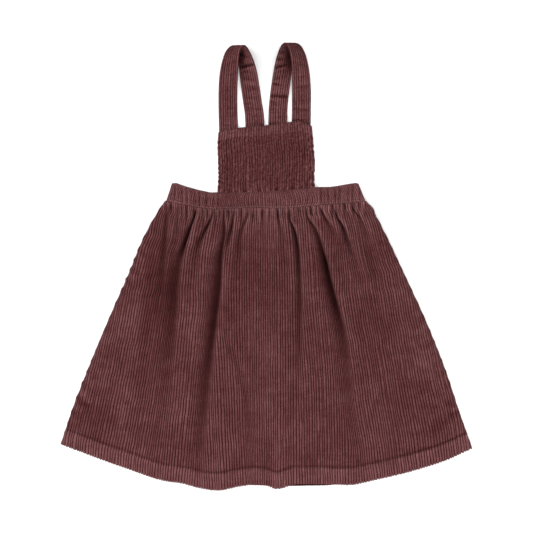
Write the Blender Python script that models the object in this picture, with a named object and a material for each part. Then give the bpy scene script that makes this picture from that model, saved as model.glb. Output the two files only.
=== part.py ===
# Child's wide-wale corduroy pinafore dress, laid flat on its back with the front up.
# +X is to the right of the dress as it lies, +Y runs from the hem to the straps, +Z is up.
# The origin is under the middle of the garment's outline, on the surface it lies on.
# Every table is in millimetres or in shares of a panel; points become metres in make_object.
import math

import bmesh
import bpy
import numpy as np

MM = 0.001

# Cloth
WALE_PITCH = 3.175  # eight wales to the inch
WALE_RISE = 0.45
CLOTH = 1.5
SEAM_GAP = 0.3
HEM_EXTRA = 0.8
HEM_STITCH = (0.930, 0.943)  # shares down where the turned hem, 20 mm deep, begins
COARSE = 4  # outer columns for each column of a plain inner face

# Skirt panel: half of the tube, gathered into the waistband
SKIRT_WIDTH = 513.8
GATHERS = 30
BACK_GATHERS = 20
GATHER_WIDTH = 2.4
CREST_EXTRA = 0.9
SIDE_ROLL = 15.0
FLANK_EXTRA = 0.9
BACK_GATHER_RISE = 1.0

# Waistband, bib and straps
BAND_BACK = 2.4
BAND_FRONT = 2.0
BAND_INSET = 0.2
BAND_WIDTH = 241.0
RUCHE_RISE = 0.9
BIB_WIDTH = 117.0
BIB_HEM = 11.0
BIB_HEM_EXTRA = 0.9
BIB_TUCKS = 9
STRAP_WALES = 7
STRAP_HALF = 1.6
BIB_FLOOR = 2 * STRAP_HALF + SEAM_GAP
BIB_SINK = 2.7
STRAP_STEPS = 2

# Both side seams: share of the way down, and x at the left and right seam
SIDE_SEAMS = (
    # down, left, right
    (0.000, -126.9, 125.0),
    (0.025, -131.9, 132.0),
    (0.058, -138.1, 137.0),
    (0.155, -154.1, 152.0),
    (0.300, -172.4, 173.0),
    (0.500, -198.9, 201.1),
    (0.700, -224.1, 225.3),
    (0.850, -241.8, 240.5),
    (1.000, -256.9, 256.9),
)

# Seam between waistband and skirt
WAIST_SEAM = (
    # x, y
    (-126.9, 82.3),
    (-98.1, 75.9),
    (-71.9, 71.7),
    (-45.6, 72.3),
    (-10.6, 73.2),
    (24.4, 72.6),
    (59.4, 75.9),
    (94.4, 78.6),
    (125.0, 81.5),
)

# Lower edge of the front panel, and of the back panel that shows under it right of centre
FRONT_HEM = (
    # x, y
    (-256.9, -221.9),
    (-218.1, -236.3),
    (-173.1, -252.5),
    (-128.1, -267.3),
    (-105.6, -270.6),
    (-83.1, -276.6),
    (-60.6, -279.4),
    (-38.1, -274.2),
    (-0.6, -273.0),
    (11.9, -277.9),
    (29.4, -274.0),
    (104.4, -272.6),
    (134.4, -266.4),
    (194.4, -251.4),
    (224.4, -241.4),
    (256.9, -227.0),
)
BACK_HEM = (
    # x, y
    (-256.9, -221.4),
    (-173.1, -251.5),
    (-105.6, -268.5),
    (-38.1, -273.0),
    (29.4, -275.6),
    (74.4, -274.9),
    (134.4, -265.0),
    (194.4, -250.4),
    (256.9, -226.2),
)

# Main folds: valleys that run from the waist seam towards the hem. At each of STATIONS,
# shares of the way down, a fold has its share across the panel and the share of the loft
# that it takes away. Its half widths are in mm at the waist.
STATIONS = (0.0, 0.15, 0.30, 0.50, 0.75, 1.0)
FOLDS = (
    # name, half width to the left, to the right
    #     share across at each station
    #     share of the loft at each station
    ("left_edge", 9.0, 6.0,
        (0.055, 0.086, 0.105, 0.125, 0.140, 0.150),
        (0.3, 0.5, 0.5, 0.4, 0.2, 0.1)),
    ("left_deep", 8.0, 3.0,
        (0.165, 0.164, 0.160, 0.187, 0.222, 0.235),
        (0.7, 1.0, 0.9, 0.6, 0.4, 0.1)),
    ("left_short", 5.0, 4.0,
        (0.240, 0.219, 0.221, 0.240, 0.262, 0.277),
        (0.7, 0.5, 0.2, 0.0, 0.0, 0.0)),
    ("left_long", 7.0, 5.0,
        (0.300, 0.306, 0.318, 0.316, 0.318, 0.330),
        (0.6, 0.8, 1.0, 0.9, 0.6, 0.6)),
    ("left_twin", 3.0, 4.0,
        (0.348, 0.343, 0.346, 0.352, 0.364, 0.374),
        (0.7, 0.5, 0.2, 0.0, 0.0, 0.0)),
    ("middle_left", 4.0, 4.0,
        (0.408, 0.386, 0.384, 0.402, 0.450, 0.462),
        (0.6, 0.3, 0.0, 0.2, 0.3, 0.1)),
    ("middle", 5.0, 5.0,
        (0.482, 0.482, 0.485, 0.492, 0.502, 0.504),
        (0.5, 0.1, 0.0, 0.0, 0.2, 0.5)),
    ("middle_right", 4.0, 4.0,
        (0.550, 0.567, 0.570, 0.560, 0.542, 0.530),
        (0.6, 0.3, 0.1, 0.0, 0.0, 0.0)),
    ("right_thin", 3.0, 5.0,
        (0.612, 0.634, 0.617, 0.598, 0.572, 0.556),
        (0.5, 0.9, 0.7, 0.4, 0.2, 0.2)),
    ("right_long", 8.0, 4.0,
        (0.692, 0.728, 0.727, 0.738, 0.741, 0.756),
        (0.5, 0.9, 1.0, 0.8, 0.3, 0.3)),
    ("right_short", 4.0, 4.0,
        (0.762, 0.790, 0.790, 0.820, 0.838, 0.830),
        (0.7, 0.2, 0.1, 0.3, 0.3, 0.2)),
    ("right_deep", 6.0, 4.0,
        (0.825, 0.848, 0.848, 0.865, 0.878, 0.880),
        (0.7, 0.7, 0.3, 0.1, 0.0, 0.0)),
    ("right_edge", 7.0, 6.0,
        (0.915, 0.932, 0.915, 0.905, 0.915, 0.930),
        (0.8, 0.4, 0.4, 0.2, 0.1, 0.1)),
)

# Height of the cloth between the valleys above the layer it lies on
LOFT = (
    # down, loft
    (0.00, 1.5),
    (0.02, 2.8),
    (0.06, 3.8),
    (0.30, 3.9),
    (0.60, 3.6),
    (0.90, 3.2),
    (1.00, 3.0),
)
ROWS_DOWN = (0.0, 0.02, 0.05, 0.09, 0.15, 0.22, 0.32, 0.48, 0.70, *HEM_STITCH, 1.0)

# Upper edge of the waistband, and the seam between it and the bib
BAND_TOP = (
    # x, y
    (-118.1, 103.8),
    (-113.1, 104.4),
    (-99.4, 99.6),
    (-85.6, 95.8),
    (-69.4, 92.3),
    (-62.5, 92.6),
    (-10.6, 93.4),
    (61.5, 99.2),
    (79.4, 99.4),
    (88.1, 100.6),
    (103.1, 103.3),
    (112.5, 104.4),
    (115.0, 103.1),
)

BAND_FOOT = (-125.4, 124.0)  # x at the two ends of its lower edge

# Upper edge of the bib
BIB_TOP = (
    # x, y
    (-60.0, 167.8),
    (-36.3, 173.2),
    (-2.4, 176.0),
    (31.3, 180.6),
    (41.9, 182.3),
    (57.0, 175.4),
)
BIB_SIDES = (
    # down, left, right
    (0.0, -60.0, 57.0),
    (0.5, -61.0, 58.2),
    (1.0, -61.4, 60.0),
)
BIB_STITCH = (0.14, 0.16)  # shares down where the bib's turned top hem ends
BIB_ROWS = (0.0, *BIB_STITCH, 0.24, 0.34, 0.50, 0.66, 0.84, 1.0)
BIB_FOOT = ((-61.4, 93.1), (-10.6, 93.8), (60.0, 99.6))

# Straps from the bib over the shoulder loop to the back waistband: the two edges of the
# ribbon's middle plane. It stands on its outer edge through the loop, and then lies down
# again with its inside up.
STRAP_LEFT = (
    # outer x, y, z, inner x, y, z
    (-58.8, 157.2, 1.6, -35.2, 158.4, 1.6),
    (-59.8, 190.0, 1.6, -36.2, 190.0, 1.6),
    (-60.0, 216.0, 2.2, -36.4, 216.0, 3.4),
    (-58.8, 236.9, 5.6, -35.6, 236.9, 9.6),
    (-56.4, 251.9, 7.8, -34.6, 253.1, 16.0),
    (-52.6, 264.2, 6.9, -33.2, 265.2, 20.2),
    (-47.6, 272.0, 4.8, -30.6, 271.8, 21.4),
    (-41.6, 275.0, 3.0, -26.7, 273.8, 21.4),
    (-35.8, 272.8, 2.2, -22.2, 268.6, 21.2),
    (-32.8, 265.0, 1.9, -18.2, 260.8, 20.4),
    (-32.9, 256.4, 1.8, -14.8, 252.8, 16.6),
    (-33.7, 245.0, 1.7, -12.0, 243.4, 10.8),
    (-32.6, 230.0, 1.6, -9.4, 229.0, 5.6),
    (-29.6, 207.6, 1.6, -6.0, 207.0, 2.0),
    (-26.4, 178.1, 1.6, -2.6, 177.6, 1.6),
    (-25.0, 93.8, 1.6, -1.1, 94.6, 1.6),
)
STRAP_RIGHT = (
    # outer x, y, z, inner x, y, z
    (55.0, 169.8, 1.6, 31.3, 170.6, 1.6),
    (55.4, 196.0, 1.6, 31.8, 196.0, 1.6),
    (55.5, 218.0, 2.2, 31.8, 218.0, 3.4),
    (54.2, 238.1, 4.8, 31.6, 238.1, 10.4),
    (51.9, 252.8, 7.2, 30.8, 253.6, 17.0),
    (48.5, 264.6, 6.4, 28.8, 265.8, 19.6),
    (43.6, 273.9, 4.4, 25.7, 273.6, 20.4),
    (37.6, 277.9, 2.8, 21.8, 277.0, 20.8),
    (31.6, 276.2, 2.2, 17.4, 272.2, 21.0),
    (28.4, 268.8, 1.9, 14.0, 264.0, 20.4),
    (28.7, 260.2, 1.8, 11.4, 255.4, 17.2),
    (29.9, 248.0, 1.7, 8.9, 244.0, 11.6),
    (29.2, 232.0, 1.6, 6.6, 230.0, 6.4),
    (27.2, 208.0, 1.6, 3.7, 207.4, 2.0),
    (26.0, 183.0, 1.6, 2.3, 182.6, 1.6),
    (25.0, 96.8, 1.6, 1.1, 94.8, 1.6),
)


# ---------------------------------------------------------------- shared geometry


def column(rows, index):
    return np.array([row[index] for row in rows])


def read(rows, at, index=1):
    """One column of a table, read at the given values of its first column."""
    return np.interp(at, column(rows, 0), column(rows, index))


def step(values, start, end):
    t = np.clip((np.asarray(values, float) - start) / (end - start), 0.0, 1.0)
    return t * t * (3.0 - 2.0 * t)


def through(points, steps):
    """A smooth curve through the points, with the given steps between each two."""
    points = np.asarray(points, float)
    ends = np.vstack([2 * points[0] - points[1], points, 2 * points[-1] - points[-2]])
    found = []
    for i in range(1, len(ends) - 2):
        a, b, c, d = ends[i - 1 : i + 3]
        for k in range(steps):
            t = k / steps
            square = (2 * a - 5 * b + 4 * c - d) * t**2
            cube = (3 * b - a - 3 * c + d) * t**3
            found.append(0.5 * (2 * b + (c - a) * t + square + cube))
    found.append(points[-1])
    return np.array(found)


def low_envelope(heights, reach):
    """The lowest of each point's neighbours within reach columns, so that a plain inner
    face stays below every valley of the outer one."""
    padded = np.pad(heights, ((0, 0), (reach, reach)), mode="edge")
    windows = [padded[:, k : k + heights.shape[1]] for k in range(2 * reach + 1)]
    return np.min(windows, axis=0)


def grid(x, y, z):
    return np.stack(np.broadcast_arrays(x, y, z), axis=-1)


def wall(outer, inner):
    """A closed wall between an outer grid of points and an inner one with every COARSE-th
    column, as points and faces. Rows run towards the hem, columns towards +X."""
    rows, wide = outer.shape[:2]
    narrow = inner.shape[1]
    ratio = (wide - 1) // (narrow - 1)
    points = np.concatenate([outer.reshape(-1, 3), inner.reshape(-1, 3)])

    def out(row, col):
        return row * wide + col

    def inn(row, col):
        return rows * wide + row * narrow + col

    faces = []
    for row in range(rows - 1):
        for col in range(wide - 1):
            faces.append((out(row, col), out(row + 1, col), out(row + 1, col + 1), out(row, col + 1)))
        for col in range(narrow - 1):
            faces.append((inn(row, col), inn(row, col + 1), inn(row + 1, col + 1), inn(row + 1, col)))
        faces.append((out(row, 0), inn(row, 0), inn(row + 1, 0), out(row + 1, 0)))
        last, end = wide - 1, narrow - 1
        faces.append((out(row, last), out(row + 1, last), inn(row + 1, end), inn(row, end)))
    for row, turned in ((0, False), (rows - 1, True)):
        for col in range(narrow - 1):
            first = col * ratio
            fan = [(inn(row, col), out(row, first + k), out(row, first + k + 1)) for k in range(ratio)]
            fan.append((inn(row, col), out(row, first + ratio), inn(row, col + 1)))
            faces.extend(face[::-1] if turned else face for face in fan)
    return points, faces


def tube(rings):
    """A closed body through rings of equal length, as points and faces."""
    count, around = rings.shape[:2]
    faces = []
    for i in range(count - 1):
        for k in range(around):
            n = (k + 1) % around
            faces.append((i * around + k, i * around + n, (i + 1) * around + n, (i + 1) * around + k))
    faces.append(tuple(range(around))[::-1])
    faces.append(tuple((count - 1) * around + k for k in range(around)))
    return rings.reshape(-1, 3), faces


def wale_columns(width):
    """Shares across a piece for two columns to each wale, in whole groups of COARSE."""
    groups = round(2 * width / WALE_PITCH / COARSE)
    return np.linspace(0.0, 1.0, groups * COARSE + 1)


def wale_rise(columns):
    """Raises every second column: a wale's crest between two valleys."""
    return WALE_RISE * (np.arange(columns) % 2)


# ---------------------------------------------------------------- skirt


def panel_width(down):
    return read(SIDE_SEAMS, down, 2) - read(SIDE_SEAMS, down, 1)


def valley(distance, left, right):
    """1 in the middle of a valley, falling to 0 over its own width on either side."""
    return np.exp(-((distance / np.where(distance < 0, left, right)) ** 2))


def gather_rows():
    """The small gathers at the waist seam: share across, reach down and depth."""
    rows = []
    for i in range(GATHERS):
        share = (i + 0.5 + 0.25 * math.sin(2.4 * i)) / GATHERS
        reach = 0.055 + 0.03 * math.sin(5.1 * i + 1.0)
        rows.append((share, reach, 0.75 + 0.15 * math.sin(3.7 * i)))
    return rows


def relief(u, down):
    """Height of the front cloth above the layer under it, along one row of the panel."""
    width = panel_width(down)
    height = np.full_like(u, float(read(LOFT, down)))
    for _, left, right, at, deep in FOLDS:
        place = np.interp(down, STATIONS, at)
        depth = np.interp(down, STATIONS, deep)
        spread = 0.7 + 1.3 * down
        height *= 1 - depth * valley((u - place) * width, left * spread, right * spread)
    for share, reach, depth in gather_rows():
        fade = math.exp(-((down / reach) ** 2))
        height *= 1 - depth * fade * valley((u - share) * width, GATHER_WIDTH, GATHER_WIDTH)
    edge = np.clip(np.minimum(u, 1 - u) * width / SIDE_ROLL, 0.0, 1.0)
    return height * np.sqrt(1 - (1 - edge) ** 2)


def hem_thickness(down):
    """The turned hem doubles the cloth below its stitch line."""
    return HEM_EXTRA * step(down, *HEM_STITCH)


def back_gathers(down):
    """Height of the back panel's own gathers, pressed flat below the waist seam."""
    return BACK_GATHER_RISE * math.exp(-((down / 0.12) ** 2))


def back_top(u, down):
    """Upper face of the back panel."""
    ripple = 0.5 + 0.5 * np.cos(2 * math.pi * BACK_GATHERS * u)
    return CLOTH + hem_thickness(down) + back_gathers(down) * ripple


def panel_row(u, down, hem):
    """x and y of one row of a skirt panel."""
    left, right = read(SIDE_SEAMS, down, 1), read(SIDE_SEAMS, down, 2)
    waist_x = SIDE_SEAMS[0][1] + u * (SIDE_SEAMS[0][2] - SIDE_SEAMS[0][1])
    hem_x = SIDE_SEAMS[-1][1] + u * (SIDE_SEAMS[-1][2] - SIDE_SEAMS[-1][1])
    y = (1 - down) * read(WAIST_SEAM, waist_x) + down * read(hem, hem_x)
    return left + u * (right - left), y


def skirt_front():
    u = wale_columns(SKIRT_WIDTH)
    places, inside, outside = [], [], []
    for down in ROWS_DOWN:
        x, y = panel_row(u, down, FRONT_HEM)
        rise = relief(u, down)
        low = CLOTH + hem_thickness(down) + back_gathers(down) + SEAM_GAP + rise
        flank = np.clip(np.abs(np.gradient(rise, x)) * 0.6, 0.0, FLANK_EXTRA)
        crest = CREST_EXTRA * (rise / column(LOFT, 1).max()) ** 2
        places.append(grid(x, y, 0.0))
        inside.append(low)
        outside.append(low + CLOTH + flank + crest + hem_thickness(down) + wale_rise(len(u)))
    outer, inner = np.array(places), np.array(places)
    outer[:, :, 2] = outside
    inner[:, :, 2] = low_envelope(np.array(inside), COARSE)
    return wall(outer, inner[:, ::COARSE])


def skirt_back():
    u = np.linspace(0.0, 1.0, 2 * BACK_GATHERS + 1)
    rows = [grid(*panel_row(u, down, BACK_HEM), back_top(u, down)) for down in ROWS_DOWN]
    outer = np.array(rows)
    return wall(outer, outer * (1, 1, 0))


# ---------------------------------------------------------------- waistband


def ruche(x):
    """Uneven upright ridges that the elastic makes, strongest at both sides."""
    ridges = np.sin(x / 1.15) + 0.6 * np.sin(x / 0.83 + 1.0) + 0.4 * np.sin(x / 1.9 + 2.0)
    at_sides = 0.35 + 0.65 * step(np.abs(x), 50.0, 70.0)
    return RUCHE_RISE * at_sides * np.clip(0.5 + 0.4 * ridges, 0.0, 1.0)


def band_edges(share):
    """Lower and upper edge of the waistband, as x and y, at shares along it."""
    low_x = BAND_FOOT[0] + share * (BAND_FOOT[1] - BAND_FOOT[0])
    high_x = BAND_TOP[0][0] + share * (BAND_TOP[-1][0] - BAND_TOP[0][0])
    return (low_x, read(WAIST_SEAM, low_x) + SEAM_GAP), (high_x, read(BAND_TOP, high_x))


def waistband_front():
    share = wale_columns(BAND_WIDTH)
    (low_x, low_y), (high_x, high_y) = band_edges(share)
    under = BAND_BACK + SEAM_GAP
    outer, inner = [], []
    for up in (1.0, 0.84, 0.16, 0.0):
        x, y = low_x + up * (high_x - low_x), low_y + up * (high_y - low_y)
        rounded = 1 - (2 * up - 1) ** 4
        height = under + BAND_FRONT + ruche(x) * (0.25 + 0.75 * rounded) + wale_rise(len(x))
        outer.append(grid(x, y, height))
        inner.append(grid(x, y, under)[::COARSE])
    return wall(np.array(outer), np.array(inner))


def waistband_back():
    share = wale_columns(BAND_WIDTH)[::COARSE]
    (low_x, low_y), (high_x, high_y) = band_edges(share)
    upper = grid(high_x, high_y - BAND_INSET, BAND_BACK)
    outer = np.array([upper, grid(low_x, low_y, BAND_BACK)])
    return wall(outer, outer * (1, 1, 0))


# ---------------------------------------------------------------- bib


def bib_droop(x, down):
    """Share of the way to the surface that the bib's sides sink, between its top hem,
    which lies on the strap ends, and the waistband."""
    aside = step(np.abs(x), 27.0, 50.0)
    return aside * step(down, 0.20, 0.45) * (1 - step(down, 0.75, 1.0))


def bib():
    share = wale_columns(BIB_WIDTH)
    outer, inner = [], []
    for down in BIB_ROWS:
        left, right = read(BIB_SIDES, down, 1), read(BIB_SIDES, down, 2)
        pucker = 0.5 * math.sin(2 * math.pi * BIB_TUCKS * down)
        x = left + share * (right - left)
        top_x = BIB_TOP[0][0] + share * (BIB_TOP[-1][0] - BIB_TOP[0][0])
        foot_x = BIB_FOOT[0][0] + share * (BIB_FOOT[-1][0] - BIB_FOOT[0][0])
        y = (1 - down) * read(BIB_TOP, top_x) + down * read(BIB_FOOT, foot_x)
        from_side = np.minimum(share, 1 - share) * (right - left)
        side_hem = 1 - step(from_side, BIB_HEM - 1.5, BIB_HEM)
        top_hem = 1 - step(down, *BIB_STITCH)
        low = BIB_FLOOR - BIB_SINK * bib_droop(x, down)
        thick = CLOTH + BIB_HEM_EXTRA * np.maximum(side_hem, top_hem)
        x = x + pucker * (1 - step(from_side, 0.0, BIB_HEM)) * np.sign(share - 0.5)
        outer.append(grid(x, y, low + thick + wale_rise(len(x))))
        inner.append(grid(x, y, low))
    inner = np.array(inner)
    inner[:, :, 2] = low_envelope(inner[:, :, 2], COARSE)
    return wall(np.array(outer), inner[:, ::COARSE])


# ---------------------------------------------------------------- straps


def strap(table):
    """A folded ribbon of two layers, swept along its edges, with wales on both faces."""
    width_points = np.linspace(0.0, 1.0, 2 * STRAP_WALES + 1)
    valley_half = STRAP_HALF - WALE_RISE
    route = through(table, STRAP_STEPS)
    route[:, [2, 5]] = np.maximum(route[:, [2, 5]], STRAP_HALF)
    outer, inner = route[:, :3], route[:, 3:]
    middle = (outer + inner) / 2
    along = np.gradient(middle, axis=0)
    width = inner - outer
    facing = np.cross(width, along)
    facing /= np.linalg.norm(facing, axis=1)[:, None]
    if facing[0][2] < 0:
        facing = -facing
    rings = []
    for start, span, normal in zip(outer, width, facing):
        half = valley_half + wale_rise(len(width_points))
        half[[0, -1]] *= 0.55
        face = [start + span * w + normal * h for w, h in zip(width_points, half)]
        back = [start + span * w - normal * h for w, h in zip(width_points, half)]
        rings.append(face + back[::-1])
    return tube(np.array(rings))


# ---------------------------------------------------------------- objects



def clear_scene():
    for obj in list(bpy.data.objects):
        bpy.data.objects.remove(obj, do_unlink=True)


def corduroy(name, colour, roughness):
    material = bpy.data.materials.new(name)
    material.use_nodes = True
    shader = material.node_tree.nodes["Principled BSDF"]
    shader.inputs["Base Color"].default_value = (*colour, 1.0)
    shader.inputs["Roughness"].default_value = roughness
    shader.inputs["Metallic"].default_value = 0.0
    shader.inputs["Sheen Weight"].default_value = 0.3
    material.diffuse_color = (*colour, 1.0)
    return material


def make_object(name, shape, material, parent):
    points, faces = shape
    mesh = bpy.data.meshes.new(name)
    mesh.from_pydata([tuple(p * MM) for p in points], [], faces)
    shaped = bmesh.new()
    shaped.from_mesh(mesh)
    bmesh.ops.recalc_face_normals(shaped, faces=shaped.faces)
    bmesh.ops.triangulate(shaped, faces=[f for f in shaped.faces if len(f.verts) > 4])
    shaped.to_mesh(mesh)
    shaped.free()
    mesh.materials.append(material)
    mesh.shade_smooth()
    mesh.set_sharp_from_angle(angle=math.radians(50))
    obj = bpy.data.objects.new(name, mesh)
    obj.parent = parent
    bpy.context.scene.collection.objects.link(obj)
    return obj


def main():
    clear_scene()
    dress = bpy.data.objects.new("pinafore_dress", None)
    bpy.context.scene.collection.objects.link(dress)
    face = corduroy("plum_corduroy", (0.125, 0.042, 0.048), 0.85)
    inside = corduroy("plum_corduroy_back", (0.095, 0.034, 0.040), 0.90)
    make_object("skirt_back", skirt_back(), inside, dress)
    make_object("skirt_front", skirt_front(), face, dress)
    make_object("waistband_back", waistband_back(), inside, dress)
    make_object("waistband_front", waistband_front(), face, dress)
    make_object("bib", bib(), face, dress)
    make_object("strap_left", strap(STRAP_LEFT), face, dress)
    make_object("strap_right", strap(STRAP_RIGHT), face, dress)


main()
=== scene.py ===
# Child's corduroy pinafore dress, laid flat with its front up: cloth, stitches, light and camera.
# Every table is in millimetres in the dress's own frame: x to the right, y from hem to straps.
import math

import bpy
import numpy as np
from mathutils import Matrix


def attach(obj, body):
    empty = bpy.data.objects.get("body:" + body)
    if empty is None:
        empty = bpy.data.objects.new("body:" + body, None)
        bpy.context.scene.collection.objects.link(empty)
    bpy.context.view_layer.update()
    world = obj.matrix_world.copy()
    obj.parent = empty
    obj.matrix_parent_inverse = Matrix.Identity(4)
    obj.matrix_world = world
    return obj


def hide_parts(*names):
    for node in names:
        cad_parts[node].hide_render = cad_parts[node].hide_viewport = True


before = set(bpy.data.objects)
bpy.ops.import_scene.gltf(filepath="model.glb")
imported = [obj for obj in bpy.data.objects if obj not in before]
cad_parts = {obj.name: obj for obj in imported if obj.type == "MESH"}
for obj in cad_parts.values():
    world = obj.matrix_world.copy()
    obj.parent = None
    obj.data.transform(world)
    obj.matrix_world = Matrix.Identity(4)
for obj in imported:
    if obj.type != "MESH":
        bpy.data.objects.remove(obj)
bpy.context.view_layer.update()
print("frame loaded:", ", ".join(sorted(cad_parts)))

mm = 0.001

cloth = {
    "walePitch": 3.175,  # eight wales to the inch
    "waleDepth": 0.85,
    "waleShares": (0.0, 0.22, 0.5, 0.78),  # groove, flank, crest, flank
    "waleJitter": 0.14,  # how unevenly wide the wales are, in wales
    "waleLimit": 0.28,
    "waleWander": 26.0,  # length over which a wale wanders to its next place
    "waleKnots": 24,
    "waleEnd": 2.5,  # width over which the wales run out at a seam
    "crown": 0.6,  # below 1 flattens the crests and narrows the grooves
    "thickness": 1.3,
    "layerGap": 0.3,
    "readings": 1700,  # places read across a row before the wales are laid along it
}
perWale = len(cloth["waleShares"])
shares = np.linspace(0.0, 1.0, cloth["readings"])[None, :]


def column(rows, index):
    return np.array([row[index] for row in rows], float)


def smoothRead(keys, values, at):  # a soft curve through a table, held level past its ends
    keys, values = np.asarray(keys, float), np.asarray(values, float)
    if keys[0] > keys[-1]:
        keys, values = keys[::-1], values[::-1]
    slopes = np.gradient(values, keys)
    at = np.clip(at, keys[0], keys[-1])
    index = np.clip(np.searchsorted(keys, at) - 1, 0, len(keys) - 2)
    span = keys[index + 1] - keys[index]
    t = (at - keys[index]) / span
    start = (1 + 2 * t) * (1 - t) ** 2 * values[index] + t * (1 - t) ** 2 * span * slopes[index]
    end = t * t * (3 - 2 * t) * values[index + 1] - t * t * (1 - t) * span * slopes[index + 1]
    return start + end


def read(rows, at, index=1):
    return smoothRead(column(rows, 0), column(rows, index), at)


def straightRead(rows, at, index=1, key=0):  # straight lines through a table, whichever way it runs
    rows = sorted(rows, key=lambda row: row[key])
    return np.interp(at, column(rows, key), column(rows, index))


def between(first, last, share):
    return first + share * (last - first)


def rowsAlong(stretches):  # where the rows lie: start, end and number of rows of each stretch
    runs = [np.linspace(start, end, rows, endpoint=False) for start, end, rows in stretches]
    return np.append(np.concatenate(runs), stretches[-1][1])


def ease(values, start, end):  # 0 before start, 1 after end
    t = np.clip((np.asarray(values, float) - start) / (end - start), 0.0, 1.0)
    return t * t * (3 - 2 * t)


def bell(distance, width):
    return np.exp(-((distance / width) ** 2))


def drift(x, y, span, seed):  # slow uneven rise and fall, about -1 to 1
    draw = np.random.default_rng(seed)
    total = 0.0
    for turn, phase, stretch in draw.uniform((0, 0, 0.6), (math.pi, 2 * math.pi, 1.6), (9, 3)):
        along = x * math.cos(turn) + y * math.sin(turn)
        total = total + np.sin(along * 2 * math.pi / (span * stretch) + phase)
    return total / 4


def rumples(x, y, rows):  # rows of height, span, seed and how many times longer than wide
    total = 0.0
    for height, span, seed, narrow in rows:
        total = total + height * drift(x * narrow, y, span, seed)
    return total


def gathers(x, fine, swing, slow, *more):
    # upright waves of the fine length that crowd and spread over the slow length, and more waves,
    # each with its share, length and phase
    wave = np.sin(x / fine + swing * np.sin(x / slow))
    for share, length, phase in more:
        wave = wave + share * np.sin(x / length + phase)
    return wave


def fromSides(x, rows=None):  # how far inside the two ends of its row, or of the row it had before
    rows = x if rows is None else rows
    return np.minimum(x - rows[:, :1], rows[:, -1:] - x)


def rolled(inside, radius):  # 0 at an edge, rounding up to 1 a radius inside it
    edge = np.clip(inside / radius, 0.0, 1.0)
    return np.sqrt(np.maximum(0.0, 1 - (1 - edge) ** 2))


def patchTone(x, y, table):
    tone = 0.0
    for overX, overY, wide, tall, share in table:
        tone = tone + share * bell(x - overX, wide) * bell(y - overY, tall)
    return tone


def waleColumns(wales):  # columns counted in wales, with whole numbers in the grooves
    return np.append((np.arange(wales)[:, None] + np.array(cloth["waleShares"])).ravel(), wales)


def walePlaces(counts, wales, seed, along):
    # where they lie across the cloth at each place along it: no two wales are quite as wide
    order, limit = np.arange(wales + 1), cloth["waleLimit"]
    draw = np.random.default_rng(seed).normal(0.0, cloth["waleJitter"], (cloth["waleKnots"], wales + 1))
    draw = draw.clip(-limit, limit)
    knot = np.asarray(along, float) / cloth["waleWander"] + 1.0
    low = knot.astype(int)
    blend = ease(knot - low, 0.0, 1.0)[:, None]
    shift = 0.75 * draw[0] + 0.75 * (draw[low] * (1 - blend) + draw[low + 1] * blend)
    shift += 0.3 * np.sin(order / 4.1 + seed) + 0.4 * np.sin(order / 9.7)  # whole groups lean together
    shift *= np.minimum(1.0, np.minimum(order, wales - order) / 3.0)  # and the outer ones keep their place
    moved = np.array([np.interp(counts, order, row) for row in shift])
    return (counts - wales / 2 + moved) * cloth["walePitch"]


def waleDrop(count, depth=cloth["waleDepth"]):  # how far the face lies below its crests
    return depth * (1 - np.abs(np.sin(math.pi * count)) ** cloth["crown"])


def teeth(drop, reach):  # how far the crests pass the grooves at a cut or folded edge
    return reach * (0.5 - drop / cloth["waleDepth"])


def spreadAlong(paths, cut, places):
    # lays cloth of the given cut width along each row; places are counted from its middle
    found = []
    for path, width, place in zip(paths, cut, places):
        run = np.append(0.0, np.cumsum(np.hypot(np.diff(path[:, 0]), np.diff(path[:, 2]))))
        run = (run / run[-1] - 0.5) * width
        at = np.clip(place, -width / 2, width / 2)
        found.append(np.stack([np.interp(at, run, path[:, k]) for k in range(path.shape[1])], -1))
    return np.array(found)


def layWales(surface, cut, wales, seed, along, depth=1.0):
    # the cloth laid on the surface, how deep its grooves are and the wale count of each column
    counts = waleColumns(wales)
    places = walePlaces(counts, wales, seed, along)
    cut = np.broadcast_to(cut, len(along))
    left = cut[:, None] / 2 - np.abs(places)
    drop = waleDrop(counts)[None, :] * depth * ease(left, 0.0, cloth["waleEnd"])
    return spreadAlong(surface, cut, places), drop, counts


def ridgedFace(laid, drop, counts, along, side=-1.0):
    # x, y, z, wale count, length along, tone and wear of the laid cloth with its grooves;
    # side is 1 where its face looks down
    face = np.zeros((*laid.shape[:2], 7))
    face[:, :, 0] = laid[:, :, 0] + side * drop * laid[:, :, 3]
    face[:, :, 1] = laid[:, :, 1]
    face[:, :, 2] = laid[:, :, 2] + side * drop * laid[:, :, 4]
    face[:, :, 3] = counts
    face[:, :, 4] = along[:, None]
    face[:, :, 5] = laid[:, :, 5]
    return face


def tuckAlong(paths, places, tucked, start, flanks):
    # Lays cloth along each row outward from x = 0, where the place is start, with some of it
    # tucked away in the folds; flanks is how much of their slopes counts. Also tells how far
    # each place is from the seams.
    found, inside = [], []
    for path, place, taken, first, flank in zip(paths, places, tucked, start, flanks):
        steps = np.hypot(np.diff(path[:, 0]), flank * np.diff(path[:, 2]))
        run = np.append(0.0, np.cumsum(steps + taken[:-1]))
        run += first - run[np.abs(path[:, 0]).argmin()]
        at = np.clip(place, run[0], run[-1])
        found.append(np.stack([np.interp(at, run, path[:, k]) for k in range(path.shape[1])], -1))
        inside.append(np.minimum(place - run[0], run[-1] - place))
    inside = np.array(inside)
    print("skirt cloth beyond its seams:", inside[:, 0].max().round(1), inside[:, -1].max().round(1))
    return np.array(found), inside


def withNormals(x, y, z, *more):  # rows of places with the direction they face, across the row
    dx, dz = np.gradient(x, axis=1), np.gradient(z, axis=1)
    size = np.hypot(dx, dz) + 1e-9
    return np.stack([x, y, z, -dz / size, dx / size, *more], -1)


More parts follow.
